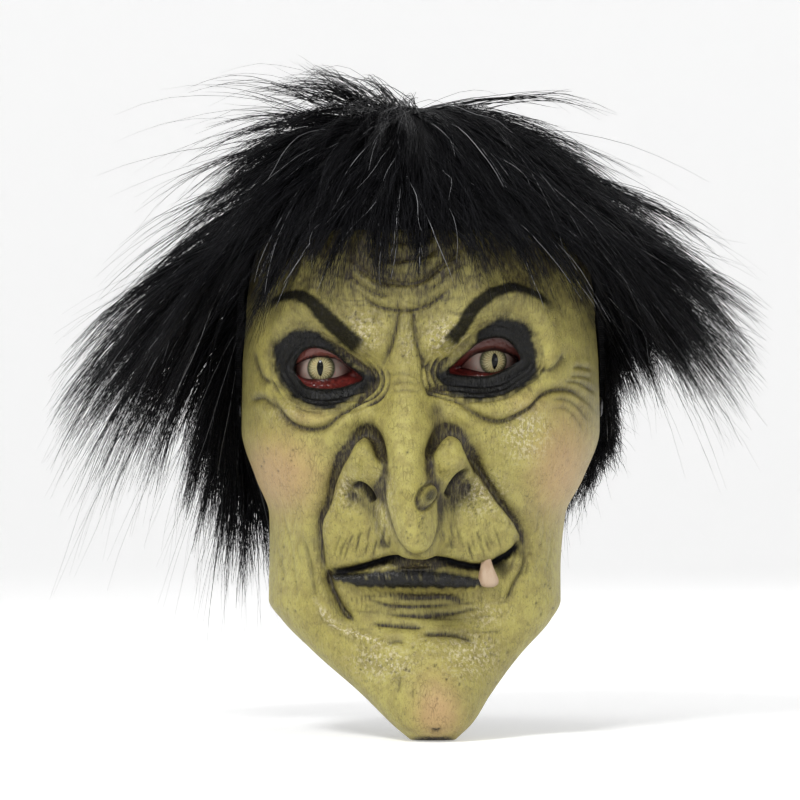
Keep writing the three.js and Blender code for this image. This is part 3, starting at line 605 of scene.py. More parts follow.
def sculpt_wart(x, z, height, paint):
    """A round wart in a dark ring, with a glossy black dot."""
    r = np.hypot(x - WART[0], z - WART[1])
    height += 2.8 * bell(r, 3.3, 4) - 1.1 * bell(r - 4.4, 0.8)
    low_left = smooth(0.6 - 0.35 * (x - WART[0] + z - WART[1]) / 4)
    lay(paint, "wash_and_shade", bell(r - 4.1, 1.0) * (0.7 + 0.3 * low_left))
    lay(paint, "wash_and_shade", 0.50 * bell(r, 3.4, 4))
    dot = hill(x, z, (WART[0] - 0.2, WART[1] - 0.3), (2.1, 2.1), 0, 3)
    lay(paint, "black", 0.78 * dot)
    lay(paint, "gloss", dot)
    height -= 0.9 * dot


def fine_lines(rng):
    """Fans of fine lines over and under the lips, down the jaw, across the chin and over the forehead."""
    fans = []
    for k in range(34):
        top = -38 + 2.2 * k + rng.uniform(-0.9, 0.9)
        if -12 < top < 7:
            continue
        lean = -0.16 * (top + 4) / 10
        high = -66 - 9 * rng.random() - 0.05 * abs(top)
        low = min(-77, high - 5 - 7 * rng.random())
        bow = rng.uniform(-0.7, 0.7)
        fans.append(([(top + lean * 6, high), (top + lean * 2 + bow, (high + low) / 2), (top, low)], 0.5, 0.5,
                     rng.uniform(0.45, 0.9)))
    for k in range(30):
        at = -32 + 2.0 * k + rng.uniform(-0.7, 0.7)
        start = -96.5 - 0.004 * at**2 + rng.uniform(-0.5, 0.5)
        end = start - 3 - 2 * rng.random()
        fans.append(([(at, start), (at + 0.2, start - 1.8), (at + 0.5, end)], 0.5, 0.3, 0.6))
    for side, edge in ((-1, 62), (1, 56)):
        for k in range(6):
            at = side * (edge - 3.4 * k + rng.uniform(-1, 1))
            start = -60 - 20 * rng.random()
            end = start - 14 - 18 * rng.random()
            middle = (at + rng.uniform(-1.5, 1.5), (start + end) / 2)
            fans.append(([(at * 1.03, start), middle, (at * 0.96, end)], 0.7, 0.3, 0.28))
    for k in range(26):
        cx, cz = rng.uniform(-28, 34), rng.uniform(-117, -99)
        half = rng.uniform(4, 9)
        sag = rng.uniform(-0.8, 0.8)
        fans.append(([(cx - half, cz + sag), (cx, cz - 0.6), (cx + half, cz + sag)], 0.55, 0.28, 0.28))
    for k in range(40):
        cx, cz = rng.uniform(-34, 26), rng.uniform(20, 62)
        half = rng.uniform(3, 9)
        fans.append(([(cx - half, cz + 1.6), (cx, cz), (cx + half, cz + 1.6)], 0.5, 0.35, 0.6))
    return fans


def sculpt_lines(x, z, height, paint):
    """Cuts the fine lines, deepest in their middle, with a thin wash in each."""
    for line, width, depth, wash_and_shade in fine_lines(np.random.default_rng(SEED + 11)):
        d, share, _ = from_line(x, z, smooth_path(line, 4), 3 * width)
        mark = bell(d, width) * np.sin(np.pi * np.clip(share, 0.02, 0.98))
        height -= depth * mark
        lay(paint, "wash_and_shade", wash_and_shade * mark)


def sculpt_pits(x, z, height, paint):
    """Pits with dark paint left in them, thickest beside the nose and over the brows."""
    rng = np.random.default_rng(SEED + 12)
    window = 2.5
    for count, at, spread in PITS:
        for px, pz in rng.normal(at, np.array(spread) * 0.6, (count, 2)):
            size = rng.uniform(0.3, 0.62)
            near = np.flatnonzero((np.abs(x - px) < window) & (np.abs(z - pz) < window))
            dot = bell(np.hypot(x[near] - px, z[near] - pz), size)
            height[near] -= 0.35 * dot
            paint["wash_and_shade"][near] = np.maximum(paint["wash_and_shade"][near], rng.uniform(0.5, 0.95) * dot)


# ---- Colours of the painted latex, as linear light ------------------------------------------------
OLIVE, LIME = (0.300, 0.262, 0.066), (0.362, 0.322, 0.090)
MOSS, STRAW = (0.205, 0.166, 0.050), (0.43, 0.39, 0.150)
ROUGE, BONE = (0.44, 0.275, 0.140), (0.62, 0.55, 0.38)
# The dark brown of the wash also paints the shade in hollows, under the fur and under the lower lip.
WASH_AND_SHADE_BROWN, CRACK_BROWN = (0.020, 0.014, 0.008), (0.050, 0.036, 0.016)
SPECK_BROWN, FLAW_BROWN = (0.06, 0.045, 0.018), (0.070, 0.052, 0.020)
COAL, COAL_WORN = (0.003, 0.0032, 0.004), (0.011, 0.011, 0.014)


# ---- Mesh and material helpers -----------------------------------------------------------------
def mesh_object(name, points, faces, material=None):
    """A smooth mesh; points in millimetres, faces as an array of vertex numbers."""
    mesh = bpy.data.meshes.new(name)
    mesh.vertices.add(len(points))
    mesh.vertices.foreach_set("co", (np.asarray(points) * MM).ravel())
    corners = faces.shape[1]
    mesh.loops.add(faces.size)
    mesh.loops.foreach_set("vertex_index", faces.ravel().astype(np.int32))
    mesh.polygons.add(len(faces))
    mesh.polygons.foreach_set("loop_start", np.arange(0, faces.size, corners, dtype=np.int32))
    mesh.polygons.foreach_set("loop_total", np.full(len(faces), corners, dtype=np.int32))
    mesh.update(calc_edges=True)
    mesh.validate()
    mesh.shade_smooth()
    obj = bpy.data.objects.new(name, mesh)
    bpy.context.scene.collection.objects.link(obj)
    if material:
        mesh.materials.append(material)
    return obj


def set_attribute(obj, name, values):
    """Stores one number for each point, for a material to read."""
    layer = obj.data.attributes.new(name, "FLOAT", "POINT")
    layer.data.foreach_set("value", np.asarray(values, np.float32))


class Nodes:
    """A short way to write a material's nodes."""

    def __init__(self, name):
        self.material = bpy.data.materials.new(name)
        self.material.use_nodes = True
        self.tree = self.material.node_tree
        self.tree.nodes.clear()
        self.shader = self.add("ShaderNodeBsdfPrincipled")
        output = self.add("ShaderNodeOutputMaterial")
        self.link(self.shader.outputs[0], output.inputs["Surface"])

    def add(self, kind, **values):
        node = self.tree.nodes.new(kind)
        for key, value in values.items():
            setattr(node, key, value)
        return node

    def link(self, source, target):
        """Joins an output to an input, or sets the input to a plain value."""
        if hasattr(source, "default_value") or hasattr(source, "links"):
            self.tree.links.new(source, target)
        else:
            target.default_value = source

    def set(self, **values):
        """Sets the shader's own inputs, with _ for each space in their names."""
        for key, value in values.items():
            self.link(value, self.shader.inputs[key.replace("_", " ")])

    def coords(self, scale):
        mapping = self.add("ShaderNodeMapping")
        mapping.inputs["Scale"].default_value = scale
        self.link(self.add("ShaderNodeTexCoord").outputs["Object"], mapping.inputs["Vector"])
        return mapping.outputs[0]

    def noise(self, size_mm, detail=3.0, stretch=(1, 1, 1), rough=0.5):
        node = self.add("ShaderNodeTexNoise")
        self.link(self.coords(stretch), node.inputs["Vector"])
        node.inputs["Scale"].default_value = 1000.0 / size_mm
        node.inputs["Detail"].default_value = detail
        node.inputs["Roughness"].default_value = rough
        return node.outputs["Fac"]

    def cells(self, size_mm, feature="F1", stretch=(1, 1, 1)):
        node = self.add("ShaderNodeTexVoronoi", feature=feature)
        self.link(self.coords(stretch), node.inputs["Vector"])
        node.inputs["Scale"].default_value = 1000.0 / size_mm
        return node.outputs["Distance"]

    def attribute(self, name):
        return self.add("ShaderNodeAttribute", attribute_name=name).outputs["Fac"]

    def math(self, operation, a, b=0.0, clamp=False):
        node = self.add("ShaderNodeMath", operation=operation, use_clamp=clamp)
        self.link(a, node.inputs[0])
        self.link(b, node.inputs[1])
        return node.outputs[0]

    def ramp(self, value, low, high, start=0.0, end=1.0):
        node = self.add("ShaderNodeMapRange")
        node.interpolation_type = "SMOOTHSTEP"
        for key, number in (("From Min", low), ("From Max", high), ("To Min", start), ("To Max", end)):
            node.inputs[key].default_value = number
        self.link(value, node.inputs["Value"])
        return node.outputs["Result"]

    def part(self, value, share):
        """A share of a value."""
        return self.math("MULTIPLY", value, share)

    def mix(self, share, a, b):
        """Colour a turning to colour b."""
        node = self.add("ShaderNodeMix", data_type="RGBA")
        self.link(share, node.inputs["Factor"])
        self.link(a if not isinstance(a, tuple) else (*a, 1), node.inputs[6])
        self.link(b if not isinstance(b, tuple) else (*b, 1), node.inputs[7])
        return node.outputs[2]

    def bump(self, height, strength, distance_mm, under=None):
        node = self.add("ShaderNodeBump")
        node.inputs["Strength"].default_value = strength
        node.inputs["Distance"].default_value = distance_mm * MM
        self.link(height, node.inputs["Height"])
        if under is not None:
            self.link(under, node.inputs["Normal"])
        self.set(Normal=node.outputs[0])
        return node.outputs[0]


def latex_skin(n):
    """Olive latex with a mottle, a fine grain, blush and pale drybrushing, which also carries painted
    highlights.
    """
    skin = n.mix(n.ramp(n.noise(38, 3), 0.35, 0.65), OLIVE, LIME)
    mottle = n.ramp(n.noise(5, 5, rough=0.62), 0.38, 0.66)
    skin = n.mix(n.part(mottle, 0.6), skin, MOSS)
    grain = n.ramp(n.noise(1.1, 6, (1.6, 1, 0.55), 0.65), 0.5, 0.72)
    skin = n.mix(n.part(grain, 0.5), skin, STRAW)
    skin = n.mix(n.part(n.attribute("blush"), 0.75), skin, ROUGE)
    flecks = n.ramp(n.noise(1.7, 6, rough=0.7), 0.48, 0.60)
    drybrush_and_highlight = n.math("MULTIPLY", n.attribute("drybrush_and_highlight"), flecks, clamp=True)
    return n.mix(drybrush_and_highlight, skin, BONE)


def aged_latex(n, skin, cracks):
    """Dark wash and painted shade in the grooves and hollows, then specks, flaws and fine cracks, and black
    paint over them all.
    """
    streaks = n.ramp(n.noise(1.6, 5, (2.2, 1, 0.35), 0.6), 0.35, 0.7, 0.75, 1.25)
    wash_and_shade = n.math("MULTIPLY", n.attribute("wash_and_shade"), streaks, clamp=True)
    skin = n.mix(wash_and_shade, skin, WASH_AND_SHADE_BROWN)
    specks = n.ramp(n.cells(3.4), 0.06, 0.13, 1, 0)
    sparse = n.ramp(n.noise(17, 2), 0.5, 0.62)
    skin = n.mix(n.part(n.math("MULTIPLY", specks, sparse), 0.6), skin, SPECK_BROWN)
    flaws = n.ramp(n.noise(0.9, 5, (1.3, 1, 0.8), 0.7), 0.54, 0.66)
    skin = n.mix(n.part(flaws, 0.5), skin, FLAW_BROWN)
    skin = n.mix(n.part(cracks, 0.26), skin, CRACK_BROWN)
    brushing = n.ramp(n.noise(0.9, 4, (1.2, 1, 1)), 0.2, 0.7, 0.95, 1.0)
    black = n.math("MULTIPLY", n.attribute("black"), brushing, clamp=True)
    coal = n.mix(n.ramp(n.noise(2.4, 4), 0.5, 0.8), COAL, COAL_WORN)
    return n.mix(black, skin, coal)


def latex_material():
    """Painted latex: satin skin, matt black paint, gloss where its mask says, with pores and creases."""
    n = Nodes("painted_latex")
    crack_lines = n.ramp(n.cells(2.6, "DISTANCE_TO_EDGE", (1.5, 1, 0.6)), 0.01, 0.09, 1, 0)
    cracks = n.math("MULTIPLY", crack_lines, n.ramp(n.noise(7, 4), 0.44, 0.62))
    n.set(Base_Color=aged_latex(n, latex_skin(n), cracks))
    gloss = n.part(n.attribute("gloss"), 0.26)
    rough = n.math("ADD", 0.40, n.part(n.noise(3, 4), 0.16))
    n.set(Roughness=n.math("SUBTRACT", rough, gloss))
    level = n.math("SUBTRACT", 0.32, n.part(n.attribute("black"), 0.29))
    n.set(Specular_IOR_Level=n.math("ADD", level, gloss))
    pores = n.bump(n.noise(0.75, 4, rough=0.6), 0.5, 0.35)
    creases = n.math("SUBTRACT", n.noise(2.6, 5, (1.9, 1, 0.5), 0.6), n.part(cracks, 0.22))
    n.bump(creases, 0.8, 0.9, pores)
    return n.material


# ---- The latex face ------------------------------------------------------------------------------
def face_grid(columns, rows, coarse_rows):
    """Grid lines: across from -1 to 1, dense over the visible front; climbs dense below the hairline."""
    t = np.linspace(-1, 1, columns)
    across = 0.80 * t + 0.20 * t**3
    visible = np.linspace(CHIN_HEM - DOME_BASE, HAIRLINE, rows)
    hidden = np.linspace(HAIRLINE, FOREHEAD_EDGE, coarse_rows)[1:]
    return np.meshgrid(across, np.concatenate([visible, hidden]))


def grid_faces(rows, columns):
    """Quads of a grid of points."""
    i = np.arange(rows - 1)[:, None] * columns + np.arange(columns - 1)[None]
    return np.stack([i, i + 1, i + columns + 1, i + columns], -1).reshape(-1, 4)


def grid_normals(points):
    """Unit normals of a grid of points, outwards."""
    across = np.gradient(points, axis=1)
    upward = np.gradient(points, axis=0)
    return unit(np.cross(across, upward))


def snap_holes(x, z, faces, loops):
    """Moves the points just inside an opening onto its rim, and drops the faces within it."""
    keep = np.ones(len(faces), bool)
    for loop in loops:
        closed = np.vstack([loop, loop[:1]])
        within = inside(x, z, loop)
        hole_faces = within[faces].all(1)
        keep &= ~hole_faces
        rim = np.zeros(len(x), bool)
        rim[faces[keep]] = True
        for v in np.flatnonzero(within & rim):
            a, b = closed[:-1], closed[1:]
            d = b - a
            t = np.clip(((x[v] - a[:, 0]) * d[:, 0] + (z[v] - a[:, 1]) * d[:, 1]) / (d**2).sum(1), 0, 1)
            spot = a + t[:, None] * d
            nearest = np.argmin(np.hypot(spot[:, 0] - x[v], spot[:, 1] - z[v]))
            x[v], z[v] = spot[nearest]
    return faces[keep]


def box_blur(grid, reach):
    """The mean over a square of points, reach to each side."""
    for axis in (0, 1):
        pad = [(reach + 1, reach) if k == axis else (0, 0) for k in (0, 1)]
        total = np.cumsum(np.pad(grid, pad, mode="edge"), axis=axis)
        size = grid.shape[axis]
        high = np.take(total, np.arange(2 * reach + 1, 2 * reach + 1 + size), axis=axis)
        grid = (high - np.take(total, np.arange(size), axis=axis)) / (2 * reach + 1)
    return grid


def hollows(base, height):
    """Where thin paint settles, with painted shade over the broad hollows: how deep each point lies below the
    skin around it.
    """
    stand = height - base[..., 1]
    near = box_blur(box_blur(stand, 4), 4) - stand
    wide = box_blur(box_blur(stand, 14), 14) - stand
    return 0.70 * smooth(near / 0.9) + 0.50 * smooth((wide - 0.2) / 3.6)


def build_face():
    """The outer skin as points, faces, paint masks and normals."""
    across, climb = face_grid(400, 330, 10)
    rear = along(REAR_EDGE, np.minimum(DOME_BASE + climb, DOME_BASE))
    turn = across * rear
    plain = head_point(turn, climb)
    base = face_point(turn, climb)
    x, z = plain[..., 0].copy(), plain[..., 2].copy()
    front = np.abs(turn) < 89
    height, paint = sculpt(x.ravel(), z.ravel())
    lay(paint, "wash_and_shade", hollows(base, height.reshape(x.shape)).ravel())
    fade = (smooth((90 - np.abs(turn)) / 12) * front).ravel()
    normals = grid_normals(base)
    points = base + normals * (height * fade).reshape(x.shape)[..., None]
    faces = grid_faces(*x.shape)
    flat = points.reshape(-1, 3)
    loops = [eye_frame(side)[1] for side in EYES]
    px, pz = flat[:, 0].copy(), flat[:, 2].copy()
    faces = snap_holes(px, pz, faces, loops)
    flat[:, 0], flat[:, 2] = px, pz
    return flat, faces, {k: v * fade for k, v in paint.items()}, normals.reshape(-1, 3)


def boundary_edges(faces):
    """Directed edges that only one face uses."""
    edges = np.concatenate([faces[:, [k, (k + 1) % faces.shape[1]]] for k in range(faces.shape[1])])
    key = np.sort(edges, axis=1)
    _, index, count = np.unique(key, axis=0, return_index=True, return_counts=True)
    return edges[index[count == 1]]


def make_face():
    """The casting: painted outer skin, a rim of the latex's thickness, and the plain inner skin."""
    outer, faces, paint, normals = build_face()
    edges = boundary_edges(faces)
    rim = np.unique(edges)
    renumber = np.full(len(outer), -1)
    renumber[rim] = len(outer) + np.arange(len(rim))
    rim_points = outer[rim] - normals[rim] * LATEX
    walls = np.stack([edges[:, 1], edges[:, 0], renumber[edges[:, 0]], renumber[edges[:, 1]]], -1)
    inner_points, inner_faces = inside_skin()
    start = len(outer) + len(rim)
    points = np.vstack([outer, rim_points, inner_points])
    obj = mesh_object("latex_face", points, np.vstack([faces, walls, inner_faces + start]), latex_material())
    obj.data.materials.append(raw_latex_material())
    unpainted = np.arange(len(obj.data.polygons)) >= len(faces) + len(walls)
    obj.data.polygons.foreach_set("material_index", unpainted.astype(np.int32))
    for name, values in paint.items():
        values = np.clip(values, 0, 1)
        set_attribute(obj, name, np.concatenate([values, values[rim], np.zeros(len(inner_points))]))
    return obj


def raw_latex_material():
    n = Nodes("raw_latex")
    colour = n.mix(n.ramp(n.noise(16, 4), 0.35, 0.65), (0.33, 0.31, 0.15), (0.42, 0.40, 0.22))
    runs = n.ramp(n.noise(5, 3, (1.6, 1.6, 0.18)), 0.5, 0.7)
    colour = n.mix(n.math("MULTIPLY", runs, 0.35), colour, (0.24, 0.22, 0.10))
    n.set(Base_Color=colour, Roughness=n.ramp(runs, 0, 1, 0.62, 0.42))
    n.bump(n.noise(4, 4, (1, 1, 0.3)), 0.5, 0.6)
    return n.material


def inside_skin():
    """The plain inner face of the casting, wound to look inwards."""
    across, climb = face_grid(72, 74, 5)
    turn = across * along(REAR_EDGE, np.minimum(DOME_BASE + climb, DOME_BASE))
    outer = face_point(turn, climb)
    over_grooves = smooth((88 - np.abs(turn)) / 14) * smooth((50 - climb) / 12) * smooth((climb + 178) / 8)
    points = outer - grid_normals(outer) * (LATEX + GROOVE_ROOM * over_grooves)[..., None]
    flat = points.reshape(-1, 3)
    x, z = flat[:, 0].copy(), flat[:, 2].copy()
    loops = []
    for side in EYES:
        middle, loop = eye_frame(side)
        away = loop - middle
        loops.append(loop + 4.5 * away / np.linalg.norm(away, axis=1, keepdims=True))
    faces = snap_holes(x, z, grid_faces(*turn.shape), loops)
    flat[:, 0], flat[:, 2] = x, z
    return flat, faces[:, ::-1]


# ---- Eyes, lids and tooth -----------------------------------------------------------------------------
def front_of_face(x, z, out=0.0):
    """The point of the face at a place in the front view."""
    x, z = np.broadcast_arrays(np.asarray(x, float), np.asarray(z, float))
    low, high = np.full(x.shape, -89.0), np.full(x.shape, 89.0)
    for _ in range(30):
        middle = (low + high) / 2
        left = head_point(middle, z - DOME_BASE)[..., 0] < x
        low, high = np.where(left, middle, low), np.where(left, high, middle)
    return face_point((low + high) / 2, z - DOME_BASE, out)


def eye_centre(side):
    x, z = EYES[side]["at"]
    return np.array([x, front_of_face([x], [z])[0, 1] + LATEX + EYE_RADIUS - 1, z])


def polar_faces(rings, sectors):
    """Quads of a disc of rings whose first ring is the middle."""
    i = np.arange(rings - 1)[:, None] * sectors
    j = np.arange(sectors)[None]
    after = (j + 1) % sectors
    return np.stack([i + j, i + sectors + j, i + sectors + after, i + after], -1).reshape(-1, 4)


def eye_axes(side, centre):
    """The eye's own right, up and forward, with the iris forward."""
    ix, iz = EYES[side]["iris"]
    gaze = np.array([ix - centre[0], 0, iz - centre[2]])
    gaze[1] = -math.sqrt(EYE_RADIUS**2 - gaze[0] ** 2 - gaze[2] ** 2)
    gaze /= EYE_RADIUS
    right = np.cross(gaze, (0, 0, 1))
    right /= np.linalg.norm(right)
    return right, np.cross(right, gaze), gaze


def eye_layers(across, spin):
    """What is painted on an eye: slit pupil, distance from the middle, fibres of the iris, veins."""
    u, v = across * np.cos(spin), across * np.sin(spin)
    teardrop = 1 + 0.35 * np.clip(-v / PUPIL[1], 0, 1)
    pupil = smooth((1.08 - np.hypot(u * teardrop / PUPIL[0], v / PUPIL[1])) / 0.16)
    rng = np.random.default_rng(SEED + 60)
    waves = (23, 37, 52, 71)
    fibre = sum(np.sin(k * spin + rng.uniform(0, 7) + 1.2 * np.sin(2 * across + rng.uniform(0, 7)))
                for k in waves) / len(waves)
    veins = wander(3 * spin + 0 * across, across + 0 * spin, 0.8, SEED + 61)
    return {"pupil": pupil, "radius": across + 0 * spin, "fibre": fibre, "veins": np.abs(veins)}


def make_eye(side):
    """A painted half-round eye with a raised cornea, its iris turned to where the eye looks."""
    rings, sectors = 110, 160
    centre = eye_centre(side)
    right, up, gaze = eye_axes(side, centre)
    share = np.linspace(0.002, 1, rings)[:, None]
    polar = np.radians(84) * share**1.5
    spin = full_turn(sectors)
    across = EYE_RADIUS * np.sin(polar)
    cornea = 1.5 * (1 - np.clip(across / (IRIS_RADIUS + 0.5), 0, 1) ** 2) ** 1.2
    shape = (np.sin(polar) * np.cos(spin), np.sin(polar) * np.sin(spin), np.cos(polar) + 0 * spin)
    directions = shape[0][..., None] * right + shape[1][..., None] * up + shape[2][..., None] * gaze
    outer = centre + directions * (EYE_RADIUS + cornea)[..., None]
    inner = centre + directions[::10] * (EYE_RADIUS - 2)
    faces = polar_faces(rings, sectors)
    hollow = polar_faces(len(inner), sectors)[:, ::-1] + rings * sectors
    last, back = (rings - 1) * sectors, rings * sectors + (len(inner) - 1) * sectors
    j = np.arange(sectors)
    after = (j + 1) % sectors
    rim = np.stack([last + j, back + j, back + after, last + after], -1)
    points = np.vstack([outer.reshape(-1, 3), inner.reshape(-1, 3)])
    obj = mesh_object("prop_eye_" + side, points, np.vstack([faces, hollow, rim]), eye_material())
    for name, values in eye_layers(across, spin).items():
        set_attribute(obj, name, np.concatenate([values.ravel(), np.full(inner.size // 3, EYE_RADIUS)]))
    finish_piece(obj, "shell", "eye_" + side)


def eye_material():
    n = Nodes("painted_eye")
    radius, fibre = n.attribute("radius"), n.attribute("fibre")
    iris = n.mix(n.ramp(fibre, -0.45, 0.45), (0.15, 0.115, 0.045), (0.47, 0.43, 0.24))
    iris = n.mix(n.ramp(n.noise(1.3, 4), 0.45, 0.7, 0, 0.35), iris, (0.42, 0.28, 0.11))
    iris = n.mix(n.ramp(radius, 3.4, 5.9, 0, 0.97), iris, (0.035, 0.040, 0.026))
    veins = n.ramp(n.attribute("veins"), 0.02, 0.12, 0.45, 0)
    # The white darkens and reddens towards its edge: painted shade where the lids overhang it.
    white = n.mix(n.ramp(radius, 6, 12), (0.30, 0.235, 0.20), (0.15, 0.07, 0.06))
    white = n.mix(veins, white, (0.36, 0.11, 0.08))
    colour = n.mix(n.ramp(radius, IRIS_RADIUS - 0.5, IRIS_RADIUS + 0.3), iris, white)
    colour = n.mix(n.attribute("pupil"), colour, (0.002, 0.002, 0.002))
    n.set(Base_Color=colour, Roughness=0.12, Specular_IOR_Level=0.0, Coat_Weight=0.3, Coat_Roughness=0.02)
    return n.material


def resample_loop(loop, middle, count):
    """Points of a closed line at even angles round a middle point."""
    closed = smooth_path(loop, 14, closed=True)[:-1]
    angles = np.arctan2(closed[:, 1] - middle[1], closed[:, 0] - middle[0])
    order = np.argsort(angles)
    wanted = np.linspace(-math.pi, math.pi, count, endpoint=False)
    x = np.interp(wanted, angles[order], closed[order, 0], period=2 * math.pi)
    z = np.interp(wanted, angles[order], closed[order, 1], period=2 * math.pi)
    return np.stack([x, z], -1)


def lid_masks(x, z, t, upper):
    """Dark paint along the slit and among the lashes, and pale flesh over the upper lid."""
    line = bell(t - 0.04, 0.11) * (0.75 + 0.25 * upper)
    lashes = smooth(wander(2.4 * x, 0.3 * z, 1.1, SEED + 72) * 2) * bell(t - 0.16, 0.1)
    flesh = upper * (0.35 + 0.65 * np.sin(np.pi * np.clip(t * 1.3, 0, 1)))
    return line + 0.5 * lashes, flesh


def make_lids(side):
    """A fleshy liner between the eye and the latex: folds round the slit, tucked behind the opening."""
    sectors, rings = 220, 34
    middle = np.array(EYES[side]["iris"]) + (1.0, -0.6)
    slit = resample_loop(EYES[side]["slit"], middle, sectors)
    opening = resample_loop(EYES[side]["opening"], middle, sectors)
    outward = opening - middle
    outward /= np.linalg.norm(outward, axis=1, keepdims=True)
    opening = opening + 2.6 * outward
    t = np.linspace(0, 1, rings)[:, None]
    place = slit[None] * (1 - t[..., None]) + opening[None] * t[..., None]
    x, z = place[..., 0], place[..., 1]
    cx, cy, cz = eye_centre(side)
    reach = np.minimum(np.hypot(x - cx, z - cz), 0.96 * EYE_RADIUS)
    ball = cy - np.sqrt(EYE_RADIUS**2 - reach**2)
    latex = front_of_face(x, z)[..., 1] + LATEX + 0.4
    upper = smooth((z - (cz - 1)) / 3)
    lift = (1.3 + 0.9 * upper) * np.sin(np.pi * np.clip(t * 1.25, 0, 1)) ** 0.8
    on_eye = (1 - t) ** 1.3
    y = (ball - 0.5) * on_eye + latex * (1 - on_eye) - lift
    folds = 0.30 * wander(30 * t + 0.25 * x, 0.4 * x, 5.5, SEED + 70) + 0.14 * wander(x, z, 0.9, SEED + 71)
    y = np.maximum(y + folds * np.sin(np.pi * t), latex - 3.4)
    y = np.where(t > 0.8, np.maximum(y, latex), y)
    outer = np.stack([x, y, z], -1)
    lip = outer[:1] + (0, 0.9, 0)
    back = outer + (0, 1.2, 0)
    sheet = np.concatenate([back[::-1], lip, outer])
    faces = polar_faces(len(sheet), sectors)
    obj = mesh_object("lids_" + side, sheet.reshape(-1, 3), faces, lid_material())
    dark, flesh = lid_masks(x, z, t, upper)
    shade = EYES[side]["lid_shade"] * upper + 0.5 * smooth((t - 0.55) / 0.3)
    pad = np.zeros((rings + 1) * sectors)
    set_attribute(obj, "dark", np.concatenate([pad, np.clip(dark + shade, 0, 1).ravel()]))
    set_attribute(obj, "flesh", np.concatenate([pad, flesh.ravel()]))
    finish_piece(obj, "shell", "lid_liner_" + side)


def lid_material():
    n = Nodes("red_lids")
    patchy = n.ramp(n.noise(1.6, 5), 0.4, 0.65)
    colour = n.mix(patchy, (0.060, 0.006, 0.005), (0.115, 0.015, 0.011))
    colour = n.mix(n.attribute("flesh"), colour, (0.165, 0.052, 0.040))
    colour = n.mix(n.math("MULTIPLY", patchy, 0.35), colour, (0.09, 0.014, 0.012))
    colour = n.mix(n.attribute("dark"), colour, (0.012, 0.003, 0.003))
    n.set(Base_Color=colour, Roughness=0.28, Specular_IOR_Level=0.4)
    n.bump(n.noise(0.8, 5), 0.4, 0.25)
    return n.material


def make_tooth():
    """A blunt tan tooth, wide and round below, narrow at the gum, leaning a little."""
    sectors, rings = 64, 60
    t = np.linspace(0.001, 1, rings)[:, None]
    spin = full_turn(sectors)
    below = np.clip(t / 0.34, 0, 1)
    half = 4.3 * (1 - (1 - below) ** 2.4) ** (1 / 2.4) * (1 - 0.50 * smooth((t - 0.12) / 0.9))
    lump = 1 + 0.04 * np.sin(3 * spin + 2) + 0.02 * np.sin(7 * spin + 9 * t)
    x0, z0 = TOOTH
    y0 = front_of_face([x0], [z0])[0, 1] - 1.8
    x = x0 - 1.4 * t + half * np.cos(spin) * lump + 0.35 * (1 - t) * np.sign(np.cos(spin))
    y = y0 + 0.8 * t + 0.62 * half * np.sin(spin)
    z = z0 - 5.9 + 12.6 * t + 0 * spin
    points = np.stack([x, y, z], -1)
    tip = np.concatenate([points[:1] * 0 + points[:1].mean(1, keepdims=True), points])
    cap = tip[-1:].mean(1, keepdims=True) + 0 * tip[-1:]
    sheet = np.concatenate([tip, cap])
    faces = polar_faces(len(sheet), sectors)[:, ::-1]
    obj = mesh_object("cast_tooth", sheet.reshape(-1, 3), faces, tooth_material())
    finish_piece(obj, "shell", "tooth")


def tooth_material():
    n = Nodes("tooth_enamel")
    colour = n.mix(n.ramp(n.noise(4, 4, (1, 1, 0.4)), 0.35, 0.7), (0.32, 0.215, 0.135), (0.42, 0.31, 0.215))
    colour = n.mix(n.ramp(n.noise(0.8, 4, (2, 1, 0.3)), 0.55, 0.75, 0, 0.5), colour, (0.36, 0.20, 0.12))
    n.set(Base_Color=colour, Roughness=n.ramp(n.noise(2, 3), 0.3, 0.7, 0.32, 0.48))
    n.bump(n.noise(1.5, 4, (2.5, 1, 0.4)), 0.35, 0.3)
    return n.material


def finish_piece(obj, body, node):
    """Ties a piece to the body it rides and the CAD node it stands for."""
    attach(obj, body)
    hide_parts(node)


# ---- Faux fur ---------------------------------------------------------------------------------------
CROWN = np.array([-8.0, 22.0, 112.0])  # where the combing starts
PARTING_X = -6.0
FRINGE_TURN = 48.5
SIDE_TURN = 118.5
CAP_EDGE = 46.0
STRAND_RINGS = 9
LOCK_COUNT = 1500
ROOT_COUNT = 60000  # places tried for fibres; each panel takes the first of them that lie on it
LOOSE_EACH = 11  # one more fibre is left loose for every so many in the locks
LOCK_RADIUS, LOOSE_RADIUS = (0.12, 0.21), (0.08, 0.13)
LOCK_LENGTHS = (0.62, 1.08)  # share of its lock's length that a fibre reaches
GATHER = (0.76, 0.98)  # share of its distance from its lock that a fibre closes by the tip
DRIFT, CURL, STRAY = 1.9, 1.5, 5.0  # how far fibres leave their path at the tip
DROOP = 0.085  # how much a fibre's heading falls from ring to ring
HEM_SHARE = 0.14  # share of the roots moved down to the hem
TIP_THINNING = 0.78
SINK = 0.2  # how deep a fibre may lie in the cap
NAPE_CLIMB = -70.0
WIG_TOP = DOME_RISE * math.pi / 2
# Shade: colour, roughness, share of the fibres; the pale grey fibres are painted glints, standing in for the
# fur's highlights
FUR_SHADES = {
    "fur_black": ((0.004, 0.004, 0.005), 0.36, 0.80),
    "fur_charcoal": ((0.012, 0.012, 0.014), 0.33, 0.182),
    "fur_painted_glint": ((0.26, 0.26, 0.27), 0.28, 0.018),
}
# Panel: strands, shortest and longest fibre
PANELS = {
    "fur_crown": (9000, 58, 92),
    "fur_fringe": (1600, 26, 66),
    "fur_side_left": (4600, 84, 136),
    "fur_side_right": (4400, 60, 100),
    "fur_back": (4600, 54, 88),
}


